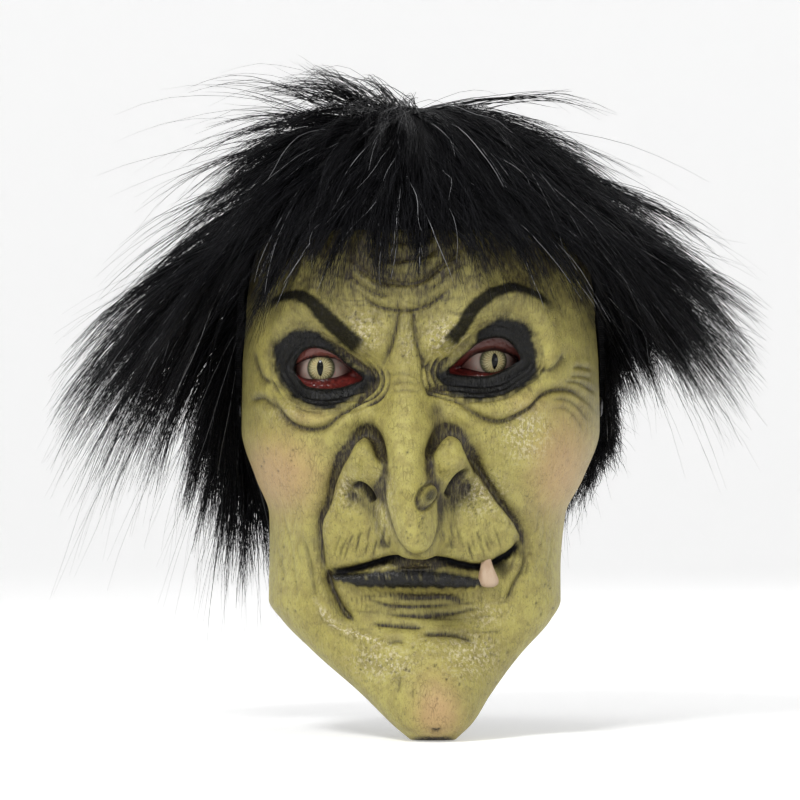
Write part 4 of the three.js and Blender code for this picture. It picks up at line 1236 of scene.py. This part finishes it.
def wig_edge(turn):
    """Climb of the wig's lower edge: over the forehead, behind the temples, down to the nape."""
    return 40 - 110 * smooth((np.abs(turn) - 65) / 60)


def panel_of(turn, climb):
    """Name of the fur panel at each place of the wig."""
    names = np.full(turn.shape, "fur_back", dtype=object)
    names[turn < -FRINGE_TURN] = "fur_side_left"
    names[turn > FRINGE_TURN] = "fur_side_right"
    names[np.abs(turn) > SIDE_TURN] = "fur_back"
    names[np.abs(turn) <= FRINGE_TURN] = "fur_fringe"
    names[climb > CAP_EDGE] = "fur_crown"
    return names


def scatter_roots(rng, count):
    """Places spread evenly over the wig's backing, as turn and climb."""
    tries = 3 * count
    turn = rng.uniform(-180, 180, tries)
    climb = rng.uniform(NAPE_CLIMB, WIG_TOP - 0.5, tries)
    edge = wig_edge(turn)
    by_hem = (rng.random(tries) < HEM_SHARE) & (np.abs(turn) > FRINGE_TURN + 1.5)
    climb = np.where(by_hem, edge + 1.2 + 8 * rng.random(tries) ** 1.5, climb)
    wanted = (climb > edge + 1.0) & (rng.random(tries) < np.cos(np.maximum(0, climb) / DOME_RISE))
    return turn[wanted][:count], climb[wanted][:count]


def unit(vectors):
    """Vectors of length one; the last axis holds x, y and z."""
    return vectors / np.maximum(np.linalg.norm(vectors, axis=-1, keepdims=True), 1e-9)


def head_normal(turn, climb):
    """Outward direction of the plain head."""
    step = 0.4
    across = head_point(turn + step, climb, 3) - head_point(turn - step, climb, 3)
    upward = head_point(turn, climb + step, 3) - head_point(turn, climb - step, 3)
    return unit(np.cross(across, upward))


def push_out(p, clearance):
    """Moves points that are closer to the head than the clearance straight out of it."""
    z = p[:, 2]
    rise = np.clip((z - DOME_BASE) / (DOME_RISE + clearance), 0, 0.999)
    shift, centre, width, front, back = section(z, clearance, np.sqrt(1 - rise**2))
    dx, dy = p[:, 0] - shift, p[:, 1] - centre
    reach = np.where(dy < 0, front, back)
    ratio = (np.abs(dx) / width) ** SECTION_POWER + (np.abs(dy) / reach) ** SECTION_POWER
    ratio = ratio ** (1 / SECTION_POWER)
    grow = np.where((ratio < 1) & (z < DOME_BASE + DOME_RISE + clearance), 1 / np.maximum(ratio, 0.2), 1)
    out = p.copy()
    out[:, 0] = shift + dx * grow
    out[:, 1] = centre + dy * grow
    return out


def combing(roots, normals, rng):
    """Unit direction in which each fibre starts: from the crown to both sides, lifted off the head."""
    count = len(roots)
    away = roots - CROWN
    away = unit(away - (away * normals).sum(1, keepdims=True) * normals)
    x, y, z = roots.T
    side = np.tanh((x - PARTING_X) / 34) + 0.10 * rng.standard_normal(count)
    front = smooth((-y - 10) / 50)
    top = smooth((z - 88) / 24)
    beside = smooth((np.abs(x) - 42) / 26) * smooth((z - 5) / 30) * smooth((60 - y) / 30)
    right = smooth((x - PARTING_X + 12) / 24)
    swept = np.stack([side, -0.25 + 0 * x, -0.62 + 0.12 * right], -1)
    flick = np.stack([side, 0.05 + 0 * x, -0.95 + 0.40 * right], -1)
    share = (0.62 * front)[:, None]
    flow = away * (1 - share) + swept * share
    share = 0.75 * beside[:, None]
    flow = flow * (1 - share) + flick * share
    flow[:, 0] += side * (0.35 - 0.20 * right) * top
    temple = bell(y + 28, 20) * smooth((86 - z) / 20) * smooth((z + 20) / 30)
    flow += temple[:, None] * (0.0, -0.45, -0.8) * (rng.random(count) < 0.55)[:, None]
    flow[:, 0] -= 0.5 * np.sign(x) * smooth((y - 20) / 50) * smooth((20 - z) / 50)
    lift = 0.17 + (0.24 - 0.38 * right) * top + 0.12 * beside + 0.07 * rng.standard_normal(count)
    lift -= 0.07 * front * (1 - beside)
    lift = (lift * smooth(np.hypot(x - CROWN[0], y - CROWN[1]) / 22))[:, None]
    return unit(unit(flow) * (1 - lift) + normals * lift + 0.10 * rng.standard_normal((count, 3)))


def comb(roots, normals, length, rng):
    """Paths of fibres that leave the head as they are combed and bend under their weight."""
    count = len(roots)
    x, y, z = roots.T
    heading = combing(roots, normals, rng)
    front, rear = smooth((-y - 10) / 50), smooth((y - 20) / 40)
    right_side = smooth((x - PARTING_X + 12) / 24) * (1 - smooth((z - 88) / 24))
    clearance = rng.uniform(3, 9, count) + 2 * front
    weight = rng.uniform(0.7, 1.35, count) * (1.05 - 0.12 * right_side) * (1 + 0.9 * rear)
    step = (length / (STRAND_RINGS - 1))[:, None]
    path = [roots]
    for k in range(1, STRAND_RINGS):
        heading[:, 2] -= DROOP * weight * (0.6 + k / STRAND_RINGS)
        heading = unit(heading + 0.035 * rng.standard_normal((count, 3)))
        rising = np.minimum(clearance, 1.2 + clearance * k / 3)
        path.append(push_out(path[-1] + heading * step, rising))
    return np.stack(path, 1)


def tubes(paths, thick, rng):
    """Three-sided tubes along many paths, with a radius for every point: points and faces."""
    count, rings, _ = paths.shape
    tangent = unit(np.gradient(paths, axis=1))
    a = unit(np.cross(tangent, rng.standard_normal((count, 1, 3))))
    b = np.cross(tangent, a)
    corners = [paths + (a * math.cos(angle) + b * math.sin(angle)) * thick[..., None]
               for angle in full_turn(3)[0]]
    points = np.stack(corners, 2).reshape(-1, 3)
    start = np.arange(count)[:, None, None] * rings * 3
    ring = np.arange(rings - 1)[None, :, None] * 3
    k = np.arange(3)[None, None]
    after = (k + 1) % 3
    low, high = start + ring, start + ring + 3
    return points, np.stack([low + k, low + after, high + after, high + k], -1).reshape(-1, 4)


def fur_material(name, colour, rough):
    n = Nodes(name)
    n.set(Base_Color=(*colour, 1), Specular_IOR_Level=0.11)
    n.set(Roughness=n.ramp(n.noise(6, 3), 0.3, 0.7, rough - 0.08, rough + 0.10))
    n.bump(n.noise(0.6, 3, (1, 1, 0.2)), 0.25, 0.05)
    return n.material


def on_drum(turn, climb):
    """Places on a plain drum as wide as the head, to find near neighbours by."""
    angle = np.radians(turn)
    return np.stack([np.sin(angle) * 90, np.cos(angle) * 90, climb], 1)


def nearest_lock(place, guide_place):
    """Number of the nearest guide to each place, a batch at a time."""
    batch = 2000
    gaps = (((place[k:k + batch, None] - guide_place[None]) ** 2).sum(2) for k in range(0, len(place), batch))
    return np.concatenate([np.argmin(gap, axis=1) for gap in gaps])


def follow_locks(turn, climb, roots, guides, rng):
    """Each fibre takes its lock's path, drawn in towards it at the tip, with a wave and a curl of its own."""
    guide_turn, guide_climb, guide_paths = guides
    paths = guide_paths[nearest_lock(on_drum(turn, climb), on_drum(guide_turn, guide_climb))]
    t = np.linspace(0, 1, STRAND_RINGS)[None, :, None]
    share = rng.uniform(*LOCK_LENGTHS, len(turn))[:, None, None]
    shortened = paths[:, :1] + (resample(paths, share) - paths[:, :1])
    offset = (roots - paths[:, 0])[:, None]
    gather = 1 - rng.uniform(*GATHER, len(turn))[:, None, None] * t**0.8
    drift = rng.standard_normal((len(turn), 1, 3)) * DRIFT * t**1.3
    curl = rng.standard_normal((len(turn), 1, 3)) * CURL
    curl = curl * np.sin(t * math.pi * rng.uniform(1, 3, (len(turn), 1, 1)))
    return shortened + offset * gather + drift + curl * t


def resample(paths, share):
    """The same paths cut or stretched to a share of their length."""
    rings = paths.shape[1]
    at = np.clip(np.linspace(0, 1, rings)[None, :, None] * share * (rings - 1), 0, None)
    i = np.minimum(at.astype(int), rings - 2)
    f = at - i
    rows = np.arange(len(paths))[:, None]
    return paths[rows, i[..., 0]] * (1 - f) + paths[rows, i[..., 0] + 1] * f


def trim(paths):
    """Cuts fibres off where they would leave the space the fur may fill."""
    low, high = np.array(CAD_BOX[0]) / MM, np.array(CAD_BOX[1]) / MM
    spare = FUR_SPARE + FUR_SPARE_SHARE * (high - low)
    within = ((paths > low - spare) & (paths < high + spare)).all(2)
    rings = paths.shape[1]
    first_out = np.where(within.all(1), rings, np.argmin(within, axis=1))
    share = np.where(first_out < rings, (first_out - 1) / (rings - 1), 1)
    return resample(paths, np.maximum(share, 0.05)[:, None, None])


def fibre_length(turn, climb, roots, rng):
    """Longest over the crown and sides, short over the brow and behind the cheeks, long at the nape."""
    names = panel_of(turn, climb)
    low = np.array([PANELS[name][1] for name in names], float)
    high = np.array([PANELS[name][2] for name in names], float)
    length = low + (high - low) * rng.random(len(names)) ** 1.2
    rear = smooth((np.abs(turn) - 112) / 40)
    low_down = np.where(turn > 0, 0.22, 0.58) * (1 - rear) + 0.85 * rear
    length *= low_down + (1 - low_down) * smooth((climb + 18) / 52)
    over_brow = smooth((-roots[:, 1] - 10) / 50) * bell(roots[:, 0] - PARTING_X, 38)
    return length * (1 - 0.52 * over_brow)


def loose_fibres(turn, climb, roots, rng):
    """Stray fibres combed on their own, which wander further the nearer the tip."""
    length = fibre_length(turn, climb, roots, rng) * rng.uniform(0.8, 1.5, len(turn))
    paths = comb(roots, head_normal(turn, climb), length, rng)
    spread = STRAY * np.linspace(0, 1, STRAND_RINGS)[None, :, None] ** 2
    return paths + rng.standard_normal((len(turn), 1, 3)) * spread


def make_fur():
    """Five panels of pile: locks of fibres with loose ones between them, kept off the cap and in bounds."""
    rng = np.random.default_rng(SEED + 40)
    root_out = GLUE + BACKING
    guide_turn, guide_climb = scatter_roots(rng, LOCK_COUNT)
    guide_roots = head_point(guide_turn, guide_climb, root_out)
    length = fibre_length(guide_turn, guide_climb, guide_roots, rng)
    guide_paths = comb(guide_roots, head_normal(guide_turn, guide_climb), length, rng)
    guides = guide_turn, guide_climb, guide_paths
    materials = [fur_material(name, colour, rough) for name, (colour, rough, _) in FUR_SHADES.items()]
    shade_shares = [share for _, _, share in FUR_SHADES.values()]
    turn, climb = scatter_roots(rng, ROOT_COUNT)
    owner = panel_of(turn, climb)
    thinning = 1 - TIP_THINNING * np.linspace(0, 1, STRAND_RINGS) ** 2.4
    for name, (count, _, _) in PANELS.items():
        mine = np.flatnonzero(owner == name)[:count]
        loose = mine[::LOOSE_EACH]
        roots = head_point(turn[mine], climb[mine], root_out)
        paths = follow_locks(turn[mine], climb[mine], roots, guides, rng)
        strays = loose_fibres(turn[loose], climb[loose], roots[::LOOSE_EACH], rng)
        paths = np.concatenate([paths, strays])
        paths = trim(push_out(paths.reshape(-1, 3), root_out - SINK).reshape(paths.shape))
        radius = np.concatenate([rng.uniform(*LOCK_RADIUS, len(mine)),
                                 rng.uniform(*LOOSE_RADIUS, len(loose))])
        points, faces = tubes(paths, radius[:, None] * thinning, rng)
        obj = mesh_object(name + "_pile", points, faces)
        for material in materials:
            obj.data.materials.append(material)
        shade = rng.choice(len(materials), len(paths), p=shade_shares)
        sides = (STRAND_RINGS - 1) * 3
        obj.data.polygons.foreach_set("material_index", np.repeat(shade, sides).astype(np.int32))
        finish_piece(obj, "shell", name)


# ---- Wig backing, foam, strap and fixings ----------------------------------------------------------------
GAP = 0.3
LID_WALL = 1.4
SEAT_WALL = 4.5
SEAT_DEPTH = 22.0
PIVOT_Z = -18.0
STRAP_WIDTH = 15.0
STRAP_THICK = 1.5
STRAP_SIDE = 74.4
STRAP_BACK = 84.0
STRAP_STRAIGHT = 34.0
STRAP_BEND = (32.0, 55.0)  # handles of the curve from side to back
SHANK = 2.0
PATCH_TURN, PATCH_HEIGHT, PATCH_THICK, PATCH_GAP = 10.0, 13.0, 1.2, 0.5
LATEX_SIDE = 79.9
SQUARED = 0.35  # power that turns a circle into a soft-cornered square
RIB = 1.5


def slab(outer, inner, flat, holes=()):
    """A closed sheet between two matching grids of points; holes are circles in its flat coordinates."""
    rows, columns, _ = outer.shape
    faces = grid_faces(rows, columns)
    u, v = flat[..., 0].ravel().copy(), flat[..., 1].ravel().copy()
    for at, radius in holes:
        near = np.hypot(u - at[0], v - at[1])
        faces = faces[~(near[faces] < radius).all(1)]
    edges = boundary_edges(faces)
    count = rows * columns
    walls = np.stack([edges[:, 1], edges[:, 0], edges[:, 0] + count, edges[:, 1] + count], -1)
    points = np.vstack([outer.reshape(-1, 3), inner.reshape(-1, 3)])
    return points, np.vstack([faces, faces[:, ::-1] + count, walls])


def set_flat(obj, flat, copies=2):
    """Stores the cloth's own flat coordinates, in millimetres, for its weave."""
    for k, name in enumerate(("u", "v")):
        set_attribute(obj, name, np.tile(flat[..., k].ravel(), copies))


def wave(n, value, period, shift):
    """A smooth wave between 0 and 1 along a coordinate."""
    turns = n.math("ADD", n.math("MULTIPLY", value, 2 * math.pi / period), shift)
    return n.math("ADD", n.math("MULTIPLY", n.math("SINE", turns), 0.5), 0.5)


def weave_material(name, colour, across, along_it, depth):
    """Black cloth with a weave that follows its flat coordinates."""
    n = Nodes(name)
    u, v = n.attribute("u"), n.attribute("v")
    over, under = [n.math("MULTIPLY", wave(n, u, along_it, shift), wave(n, v, across, shift))
                   for shift in (0, math.pi)]
    threads = n.math("MAXIMUM", over, under)
    # The crowns of the threads are painted lighter than the gaps: painted highlight on them and painted shade
    # between.
    light = tuple(2.6 * c for c in colour)
    n.set(Base_Color=n.mix(n.ramp(threads, 0.1, 0.9), colour, light), Roughness=0.82)
    n.set(Sheen_Weight=0.04, Sheen_Roughness=0.5, Specular_IOR_Level=0.08)
    lint = n.bump(n.noise(0.5, 4), 0.3, 0.1)
    n.bump(threads, 0.9, depth, lint)
    return n.material


def make_backing():
    """The wig's knitted cap with a rolled hem; one grid runs up the inside and down the outside."""
    columns, rows, hem = 320, 80, 14
    turn = np.linspace(-180, 180, columns, endpoint=False)[None]
    edge = wig_edge(turn)
    top = WIG_TOP - 0.3
    share = np.linspace(0, 1, rows)[:, None]
    climb = edge + (top - edge) * share
    inner = head_point(turn + 0 * climb, climb, GLUE)
    outer = head_point(turn + 0 * climb, climb, GLUE + BACKING)
    roll = np.linspace(0, math.pi, hem)[1:-1, None]
    low = edge - 0.9 * np.sin(roll)
    rolled = head_point(turn + 0 * low, low, GLUE + BACKING / 2 * (1 - 1.5 * np.cos(roll)) + 0 * low)
    sheet = np.concatenate([inner[::-1], rolled, outer])
    obj = mesh_object("knitted_cap", sheet.reshape(-1, 3), polar_faces(len(sheet), columns),
                      weave_material("black_knit", (0.004, 0.004, 0.0045), 1.7, 1.3, 0.4))
    flat_u = np.broadcast_to(np.radians(turn) * 85, (len(sheet), columns))
    flat_v = np.concatenate([climb[::-1], low, climb])
    set_flat(obj, np.stack([flat_u, flat_v], -1), 1)
    finish_piece(obj, "shell", "wig_backing")


def make_seat(side):
    """A foam ring that holds the eye, moulded to the inside of the latex."""
    sectors, steps = 200, 60
    cx, cy, cz = eye_centre(side)
    inner = EYE_RADIUS + 2 * GAP + LID_WALL
    spin = full_turn(sectors)
    turnround = full_turn(steps).T
    corner = np.sign(np.cos(turnround)) * np.abs(np.cos(turnround)) ** SQUARED
    depth = np.sign(np.sin(turnround)) * np.abs(np.sin(turnround)) ** SQUARED
    radius = inner + SEAT_WALL / 2 * (1 + corner)
    x, z = cx + radius * np.cos(spin), cz + radius * np.sin(spin)
    front = np.maximum(front_of_face(x, z)[..., 1] + LATEX + GROOVE_ROOM - 1, cy - SEAT_DEPTH)
    back = cy + 2
    y = front + (back - front) * (1 + depth) / 2
    rough = 0.22 * wander(9 * spin + turnround, 6 * turnround, 0.9, SEED + 80) * (depth > -0.9)
    points = np.stack([x + rough * np.cos(spin), y, z + rough * np.sin(spin)], -1)
    points = np.concatenate([points, points[:1]])
    faces = polar_faces(len(points), sectors)
    obj = mesh_object("foam_seat_" + side, points.reshape(-1, 3), faces, foam_material())
    finish_piece(obj, "shell", "eye_seat_" + side)


def foam_material():
    n = Nodes("black_foam")
    pores = n.ramp(n.cells(0.9), 0.1, 0.5)
    # The pores are painted darker than the cell walls: painted shade in them.
    n.set(Base_Color=n.mix(pores, (0.006, 0.006, 0.006), (0.045, 0.045, 0.046)), Roughness=0.95)
    n.bump(pores, 1.0, 0.5)
    return n.material


def make_patch(side):
    """A woven patch glued inside the temple, with a hole for the rivet."""
    sign = -1 if side == "left" else 1
    count = 90
    across, upward = np.meshgrid(np.linspace(-1, 1, count), np.linspace(-1, 1, count))
    round_x = across * np.sqrt(1 - 0.5 * np.abs(upward) ** 8)
    round_z = upward * np.sqrt(1 - 0.5 * np.abs(across) ** 8)
    turn = sign * 90 + PATCH_TURN * round_x
    climb = PIVOT_Z - DOME_BASE + PATCH_HEIGHT * round_z
    near = face_point(turn, climb, -LATEX - PATCH_GAP)
    frayed = 0.06 * wander(60 * across, 60 * upward, 1.5, SEED + 81)
    far = face_point(turn, climb, -LATEX - PATCH_GAP - PATCH_THICK + frayed)
    flat = np.stack([near[..., 1], near[..., 2] - PIVOT_Z], -1)
    points, faces = slab(near, far, flat, [((0, 0), SHANK + 2 * GAP)])
    obj = mesh_object("strap_patch_" + side, points, faces,
                      weave_material("patch_cloth", (0.010, 0.010, 0.011), 1.1, 1.1, 0.3))
    set_flat(obj, flat)
    finish_piece(obj, "shell", "anchor_patch_" + side)


def strap_route(count):
    """Centre line of the band from above, evenly spaced from tab to tab, and the distance run along it."""
    t = np.linspace(0, 1, 200)[:, None]
    a, b = np.array((STRAP_SIDE, 0)), np.array((STRAP_SIDE, STRAP_BEND[0]))
    c, d = np.array((STRAP_BEND[1], STRAP_BACK)), np.array((STRAP_STRAIGHT, STRAP_BACK))
    bend = (1 - t) ** 3 * a + 3 * (1 - t) ** 2 * t * b + 3 * (1 - t) * t**2 * c + t**3 * d
    right = np.vstack([(STRAP_SIDE, -STRAP_WIDTH / 2), bend])
    route = np.vstack([right * (-1, 1), right[::-1]])
    run = np.concatenate([[0], np.cumsum(np.hypot(*np.diff(route, axis=0).T))])
    at = np.linspace(0, run[-1], count)
    return np.stack([np.interp(at, run, route[:, k]) for k in (0, 1)], -1), at


def make_strap():
    """Ribbed elastic with rounded tabs, punched for the rivets."""
    route, run = strap_route(1100)
    tangent = np.gradient(route, axis=0)
    tangent /= np.linalg.norm(tangent, axis=1, keepdims=True)
    share = np.linspace(-1, 1, 121)[:, None]
    end = np.minimum(run, run[-1] - run)
    half = STRAP_WIDTH / 2
    rounding = np.where(end < half, np.sqrt(np.maximum(0.05, 1 - ((half - end) / half) ** 2)), 1)[None]
    v = share * half * rounding
    ribs = np.abs(np.sin(math.pi * v / RIB)) ** 0.7
    weft = 0.5 + 0.5 * np.sin(2 * math.pi * run[None] / 0.9 + math.pi * np.floor(v / RIB))
    thick = STRAP_THICK / 2 - 0.16 + 0.10 * ribs + 0.05 * weft * ribs
    thick = thick * (1 - 0.5 * np.abs(share) ** 14)
    skins = []
    for way in (1, -1):
        x = route[None, :, 0] - way * thick * tangent[None, :, 1]
        y = route[None, :, 1] + way * thick * tangent[None, :, 0]
        skins.append(np.stack([x, y, PIVOT_Z + v], -1))
    flat = np.stack(np.broadcast_arrays(run[None], v), -1)
    holes = [((half, 0), SHANK + GAP), ((run[-1] - half, 0), SHANK + GAP)]
    points, faces = slab(skins[1], skins[0], flat, holes)
    obj = mesh_object("ribbed_elastic", points, faces,
                      weave_material("black_elastic", (0.009, 0.009, 0.010), RIB, 0.9, 0.15))
    set_flat(obj, flat)
    finish_piece(obj, "strap", "elastic_strap")


def turned(name, side, profile, material):
    """A turned fixing along X on the pivot line; profile rows are radius and distance from the middle."""
    sectors = 72
    sign = -1 if side == "left" else 1
    rows = np.array(profile, float)
    spin = full_turn(sectors)
    x = sign * rows[:, 1:] + 0 * spin
    points = np.stack([x, rows[:, :1] * np.cos(spin), PIVOT_Z + rows[:, :1] * np.sin(spin)], -1)
    faces = polar_faces(len(rows), sectors)
    faces = faces[:, ::-1] if sign > 0 else faces
    return mesh_object(name, points.reshape(-1, 3), faces, material)


def metal_material():
    n = Nodes("black_steel")
    blotches = n.ramp(n.noise(2, 4), 0.4, 0.7)
    n.set(Base_Color=n.mix(blotches, (0.045, 0.045, 0.050), (0.085, 0.083, 0.080)), Metallic=1.0)
    n.set(Roughness=n.ramp(n.noise(1.2, 4), 0.3, 0.7, 0.22, 0.38))
    n.bump(n.noise(0.5, 3, (0.2, 1, 1)), 0.15, 0.05)
    return n.material


def arc_profile(middle, start, end, steps=9):
    """Points of an elliptical arc in a profile: middle, and its two half axes to start and end."""
    a = np.linspace(0, math.pi / 2, steps)
    return [(middle[0] + start[0] * math.cos(k) + end[0] * math.sin(k),
             middle[1] + start[1] * math.cos(k) + end[1] * math.sin(k)) for k in a]


def make_rivets(side):
    """The rivet through latex, patch and tab, rolled over on the inside, and the washer under the roll."""
    face = STRAP_SIDE - STRAP_THICK / 2 - GAP
    washer_thick, washer_radius, head_radius, roll_radius = 0.8, 5.0, 4.5, 3.2
    roll = face - washer_thick - GAP
    head = LATEX_SIDE + 2 * GAP
    profile = [(0, roll - 1), (1.2, roll - 1)]
    profile += arc_profile((2.4, roll - 0.5), (-0.2, -0.6), (roll_radius - 2.4, 0))
    profile += [(roll_radius, roll), (SHANK, roll), (SHANK, head), (head_radius, head)]
    profile += arc_profile((0, head + 0.1), (head_radius, 0), (0, 1.1), 16)
    metal = metal_material()
    rivet = turned("rivet_head_" + side, side, profile, metal)
    finish_piece(rivet, "shell", "rivet_" + side)
    hole, rim = SHANK + GAP, 0.25
    ring = [(hole, face - washer_thick), (washer_radius - rim, face - washer_thick)]
    ring += arc_profile((washer_radius - rim, face - washer_thick + rim), (0, -rim), (rim, 0))
    ring += arc_profile((washer_radius - rim, face - rim), (rim, 0), (0, rim))
    ring += [(hole, face), (hole, face - washer_thick)]
    washer = turned("washer_ring_" + side, side, ring, metal)
    finish_piece(washer, "shell", "washer_" + side)


def rounded_box(size, at, radius, steps=10):
    """Points and faces of a box with round edges."""
    grid = np.linspace(-1, 1, steps)
    u, v = np.meshgrid(grid, grid)
    half = np.array(size) / 2
    points, faces = [], []
    for axis in range(3):
        for sign in (-1, 1):
            p = np.zeros((steps, steps, 3))
            p[..., axis] = sign
            p[..., (axis + 1) % 3] = u
            p[..., (axis + 2) % 3] = v
            p = np.sign(p) * np.abs(p) ** 0.6 * half
            core = np.clip(p, radius - half, half - radius)
            away = unit(p - core)
            quads = grid_faces(steps, steps) + len(points) * steps * steps
            points.append((core + radius * away + at).reshape(-1, 3))
            faces.append(quads if sign > 0 else quads[:, ::-1])
    return np.vstack(points), np.vstack(faces)


def make_slider():
    """The ladder-lock buckle that shortens the elastic."""
    length, bar, middle_bar, rail, thick, edge = 15.0, 2.0, 2.8, 2.5, 1.8, 0.55
    depth = STRAP_THICK + 2 * GAP + 2 * thick
    rail_at = STRAP_WIDTH / 2 + GAP + rail / 2
    off = STRAP_THICK / 2 + GAP + thick / 2
    end_at = (length - bar) / 2
    blocks = [((length, depth, rail), (0, 0, way * rail_at)) for way in (1, -1)]
    blocks += [((bar, thick, 2 * rail_at), (way * end_at, off, 0)) for way in (-1, 1)]
    blocks.append(((middle_bar, thick, 2 * rail_at), (0, -off, 0)))
    points, faces, start = [], [], 0
    for size, at in blocks:
        p, f = rounded_box(size, np.array(at) + (0, STRAP_BACK, PIVOT_Z), edge)
        points.append(p)
        faces.append(f + start)
        start += len(p)
    obj = mesh_object("ladder_lock", np.vstack(points), np.vstack(faces), nylon_material())
    finish_piece(obj, "slider", "strap_slider")


def nylon_material():
    n = Nodes("black_nylon")
    n.set(Base_Color=n.mix(n.ramp(n.noise(3, 4), 0.4, 0.7), (0.010, 0.010, 0.011), (0.020, 0.020, 0.022)))
    n.set(Roughness=n.ramp(n.noise(1.5, 4), 0.3, 0.7, 0.34, 0.5))
    n.bump(n.noise(0.35, 3), 0.3, 0.05)
    return n.material


# ---- Stage and camera, metres unless millimetres are named -----------------------------------------
CAMERA_DISTANCE = 2.5
FRAME_WIDTH = 0.352  # what the picture spans at FRAME_PLANE
FRAME_PLANE = -0.045
VIEW_CENTRE = (-0.0092, -0.015)
SENSOR_MM = 36
CLIP_END = 20
WORLD_STRENGTH = 0.40
BOWL_GREY, BOWL_GLOW = 0.86, 0.27
BOWL_FLAT_MM, BOWL_BEND_MM, BOWL_HEIGHT_MM = 3000.0, 1200.0, 3600.0
BOWL_DROP_MM = 0.5  # how far the floor lies under the chin
# Light: place, aim, side of its square, power in watts
LIGHTS = {
    "key": ((-0.55, -1.2, 1.15), (0, 0, -0.03), 0.40, 20),
    "fill": ((1.1, -1.3, 0.2), (0, 0, -0.03), 0.5, 3),
    "top": ((0, 0.3, 1.5), (0, 0, 0), 0.7, 3),
    "rear": ((0.9, 1.4, 0.8), (0, 0, 0), 0.7, 5),
}


def add_light(name, at, aim, side, power):
    data = bpy.data.lights.new(name, "AREA")
    data.size = side
    data.energy = power
    light = bpy.data.objects.new(name, data)
    bpy.context.scene.collection.objects.link(light)
    light.location = at
    light.rotation_euler = (Vector(aim) - light.location).to_track_quat("-Z", "Y").to_euler()


def add_camera():
    data = bpy.data.cameras.new("camera")
    data.sensor_width = SENSOR_MM
    data.lens = SENSOR_MM * CAMERA_DISTANCE / FRAME_WIDTH
    data.clip_end = CLIP_END
    camera = bpy.data.objects.new("camera", data)
    bpy.context.scene.collection.objects.link(camera)
    camera.location = (VIEW_CENTRE[0], FRAME_PLANE - CAMERA_DISTANCE, VIEW_CENTRE[1])
    camera.rotation_euler = (math.radians(90), 0, 0)
    bpy.context.scene.camera = camera


def make_bowl():
    """A pale studio floor that curves up into a wall all round, far outside every camera place."""
    sectors = 96
    floor_z = CAD_BOX[0][2] / MM - BOWL_DROP_MM
    profile = [(0.001, floor_z)] + [(r, floor_z) for r in np.linspace(200, BOWL_FLAT_MM, 12)]
    profile += [(BOWL_FLAT_MM + BOWL_BEND_MM * math.sin(a), floor_z + BOWL_BEND_MM * (1 - math.cos(a)))
                for a in np.linspace(0.08, math.pi / 2, 16)]
    profile.append((BOWL_FLAT_MM + BOWL_BEND_MM, BOWL_HEIGHT_MM))
    radius, z = np.array(profile).T[..., None]
    spin = full_turn(sectors)
    points = np.stack([radius * np.cos(spin), radius * np.sin(spin), z + 0 * spin], -1)
    n = Nodes("pale_studio")
    n.set(Base_Color=(BOWL_GREY, BOWL_GREY, BOWL_GREY, 1), Roughness=0.95)
    n.set(Emission_Color=(1, 1, 1, 1), Emission_Strength=BOWL_GLOW)
    faces = polar_faces(len(profile), sectors)[:, ::-1]
    mesh_object("studio_bowl", points.reshape(-1, 3), faces, n.material)


def add_stage():
    world = bpy.data.worlds.new("studio")
    world.use_nodes = True
    background = world.node_tree.nodes["Background"]
    background.inputs["Color"].default_value = (1, 1, 1, 1)
    background.inputs["Strength"].default_value = WORLD_STRENGTH
    bpy.context.scene.world = world
    bpy.context.scene.view_settings.view_transform = "Standard"
    make_bowl()
    for name, light in LIGHTS.items():
        add_light(name, *light)


# ---- The object -------------------------------------------------------------------------------------
add_camera()
add_stage()
finish_piece(make_face(), "shell", "face_shell")
for eye_side in EYES:
    make_eye(eye_side)
    make_lids(eye_side)
    make_seat(eye_side)
    make_patch(eye_side)
    make_rivets(eye_side)
make_tooth()
make_backing()
make_fur()
make_strap()
make_slider()
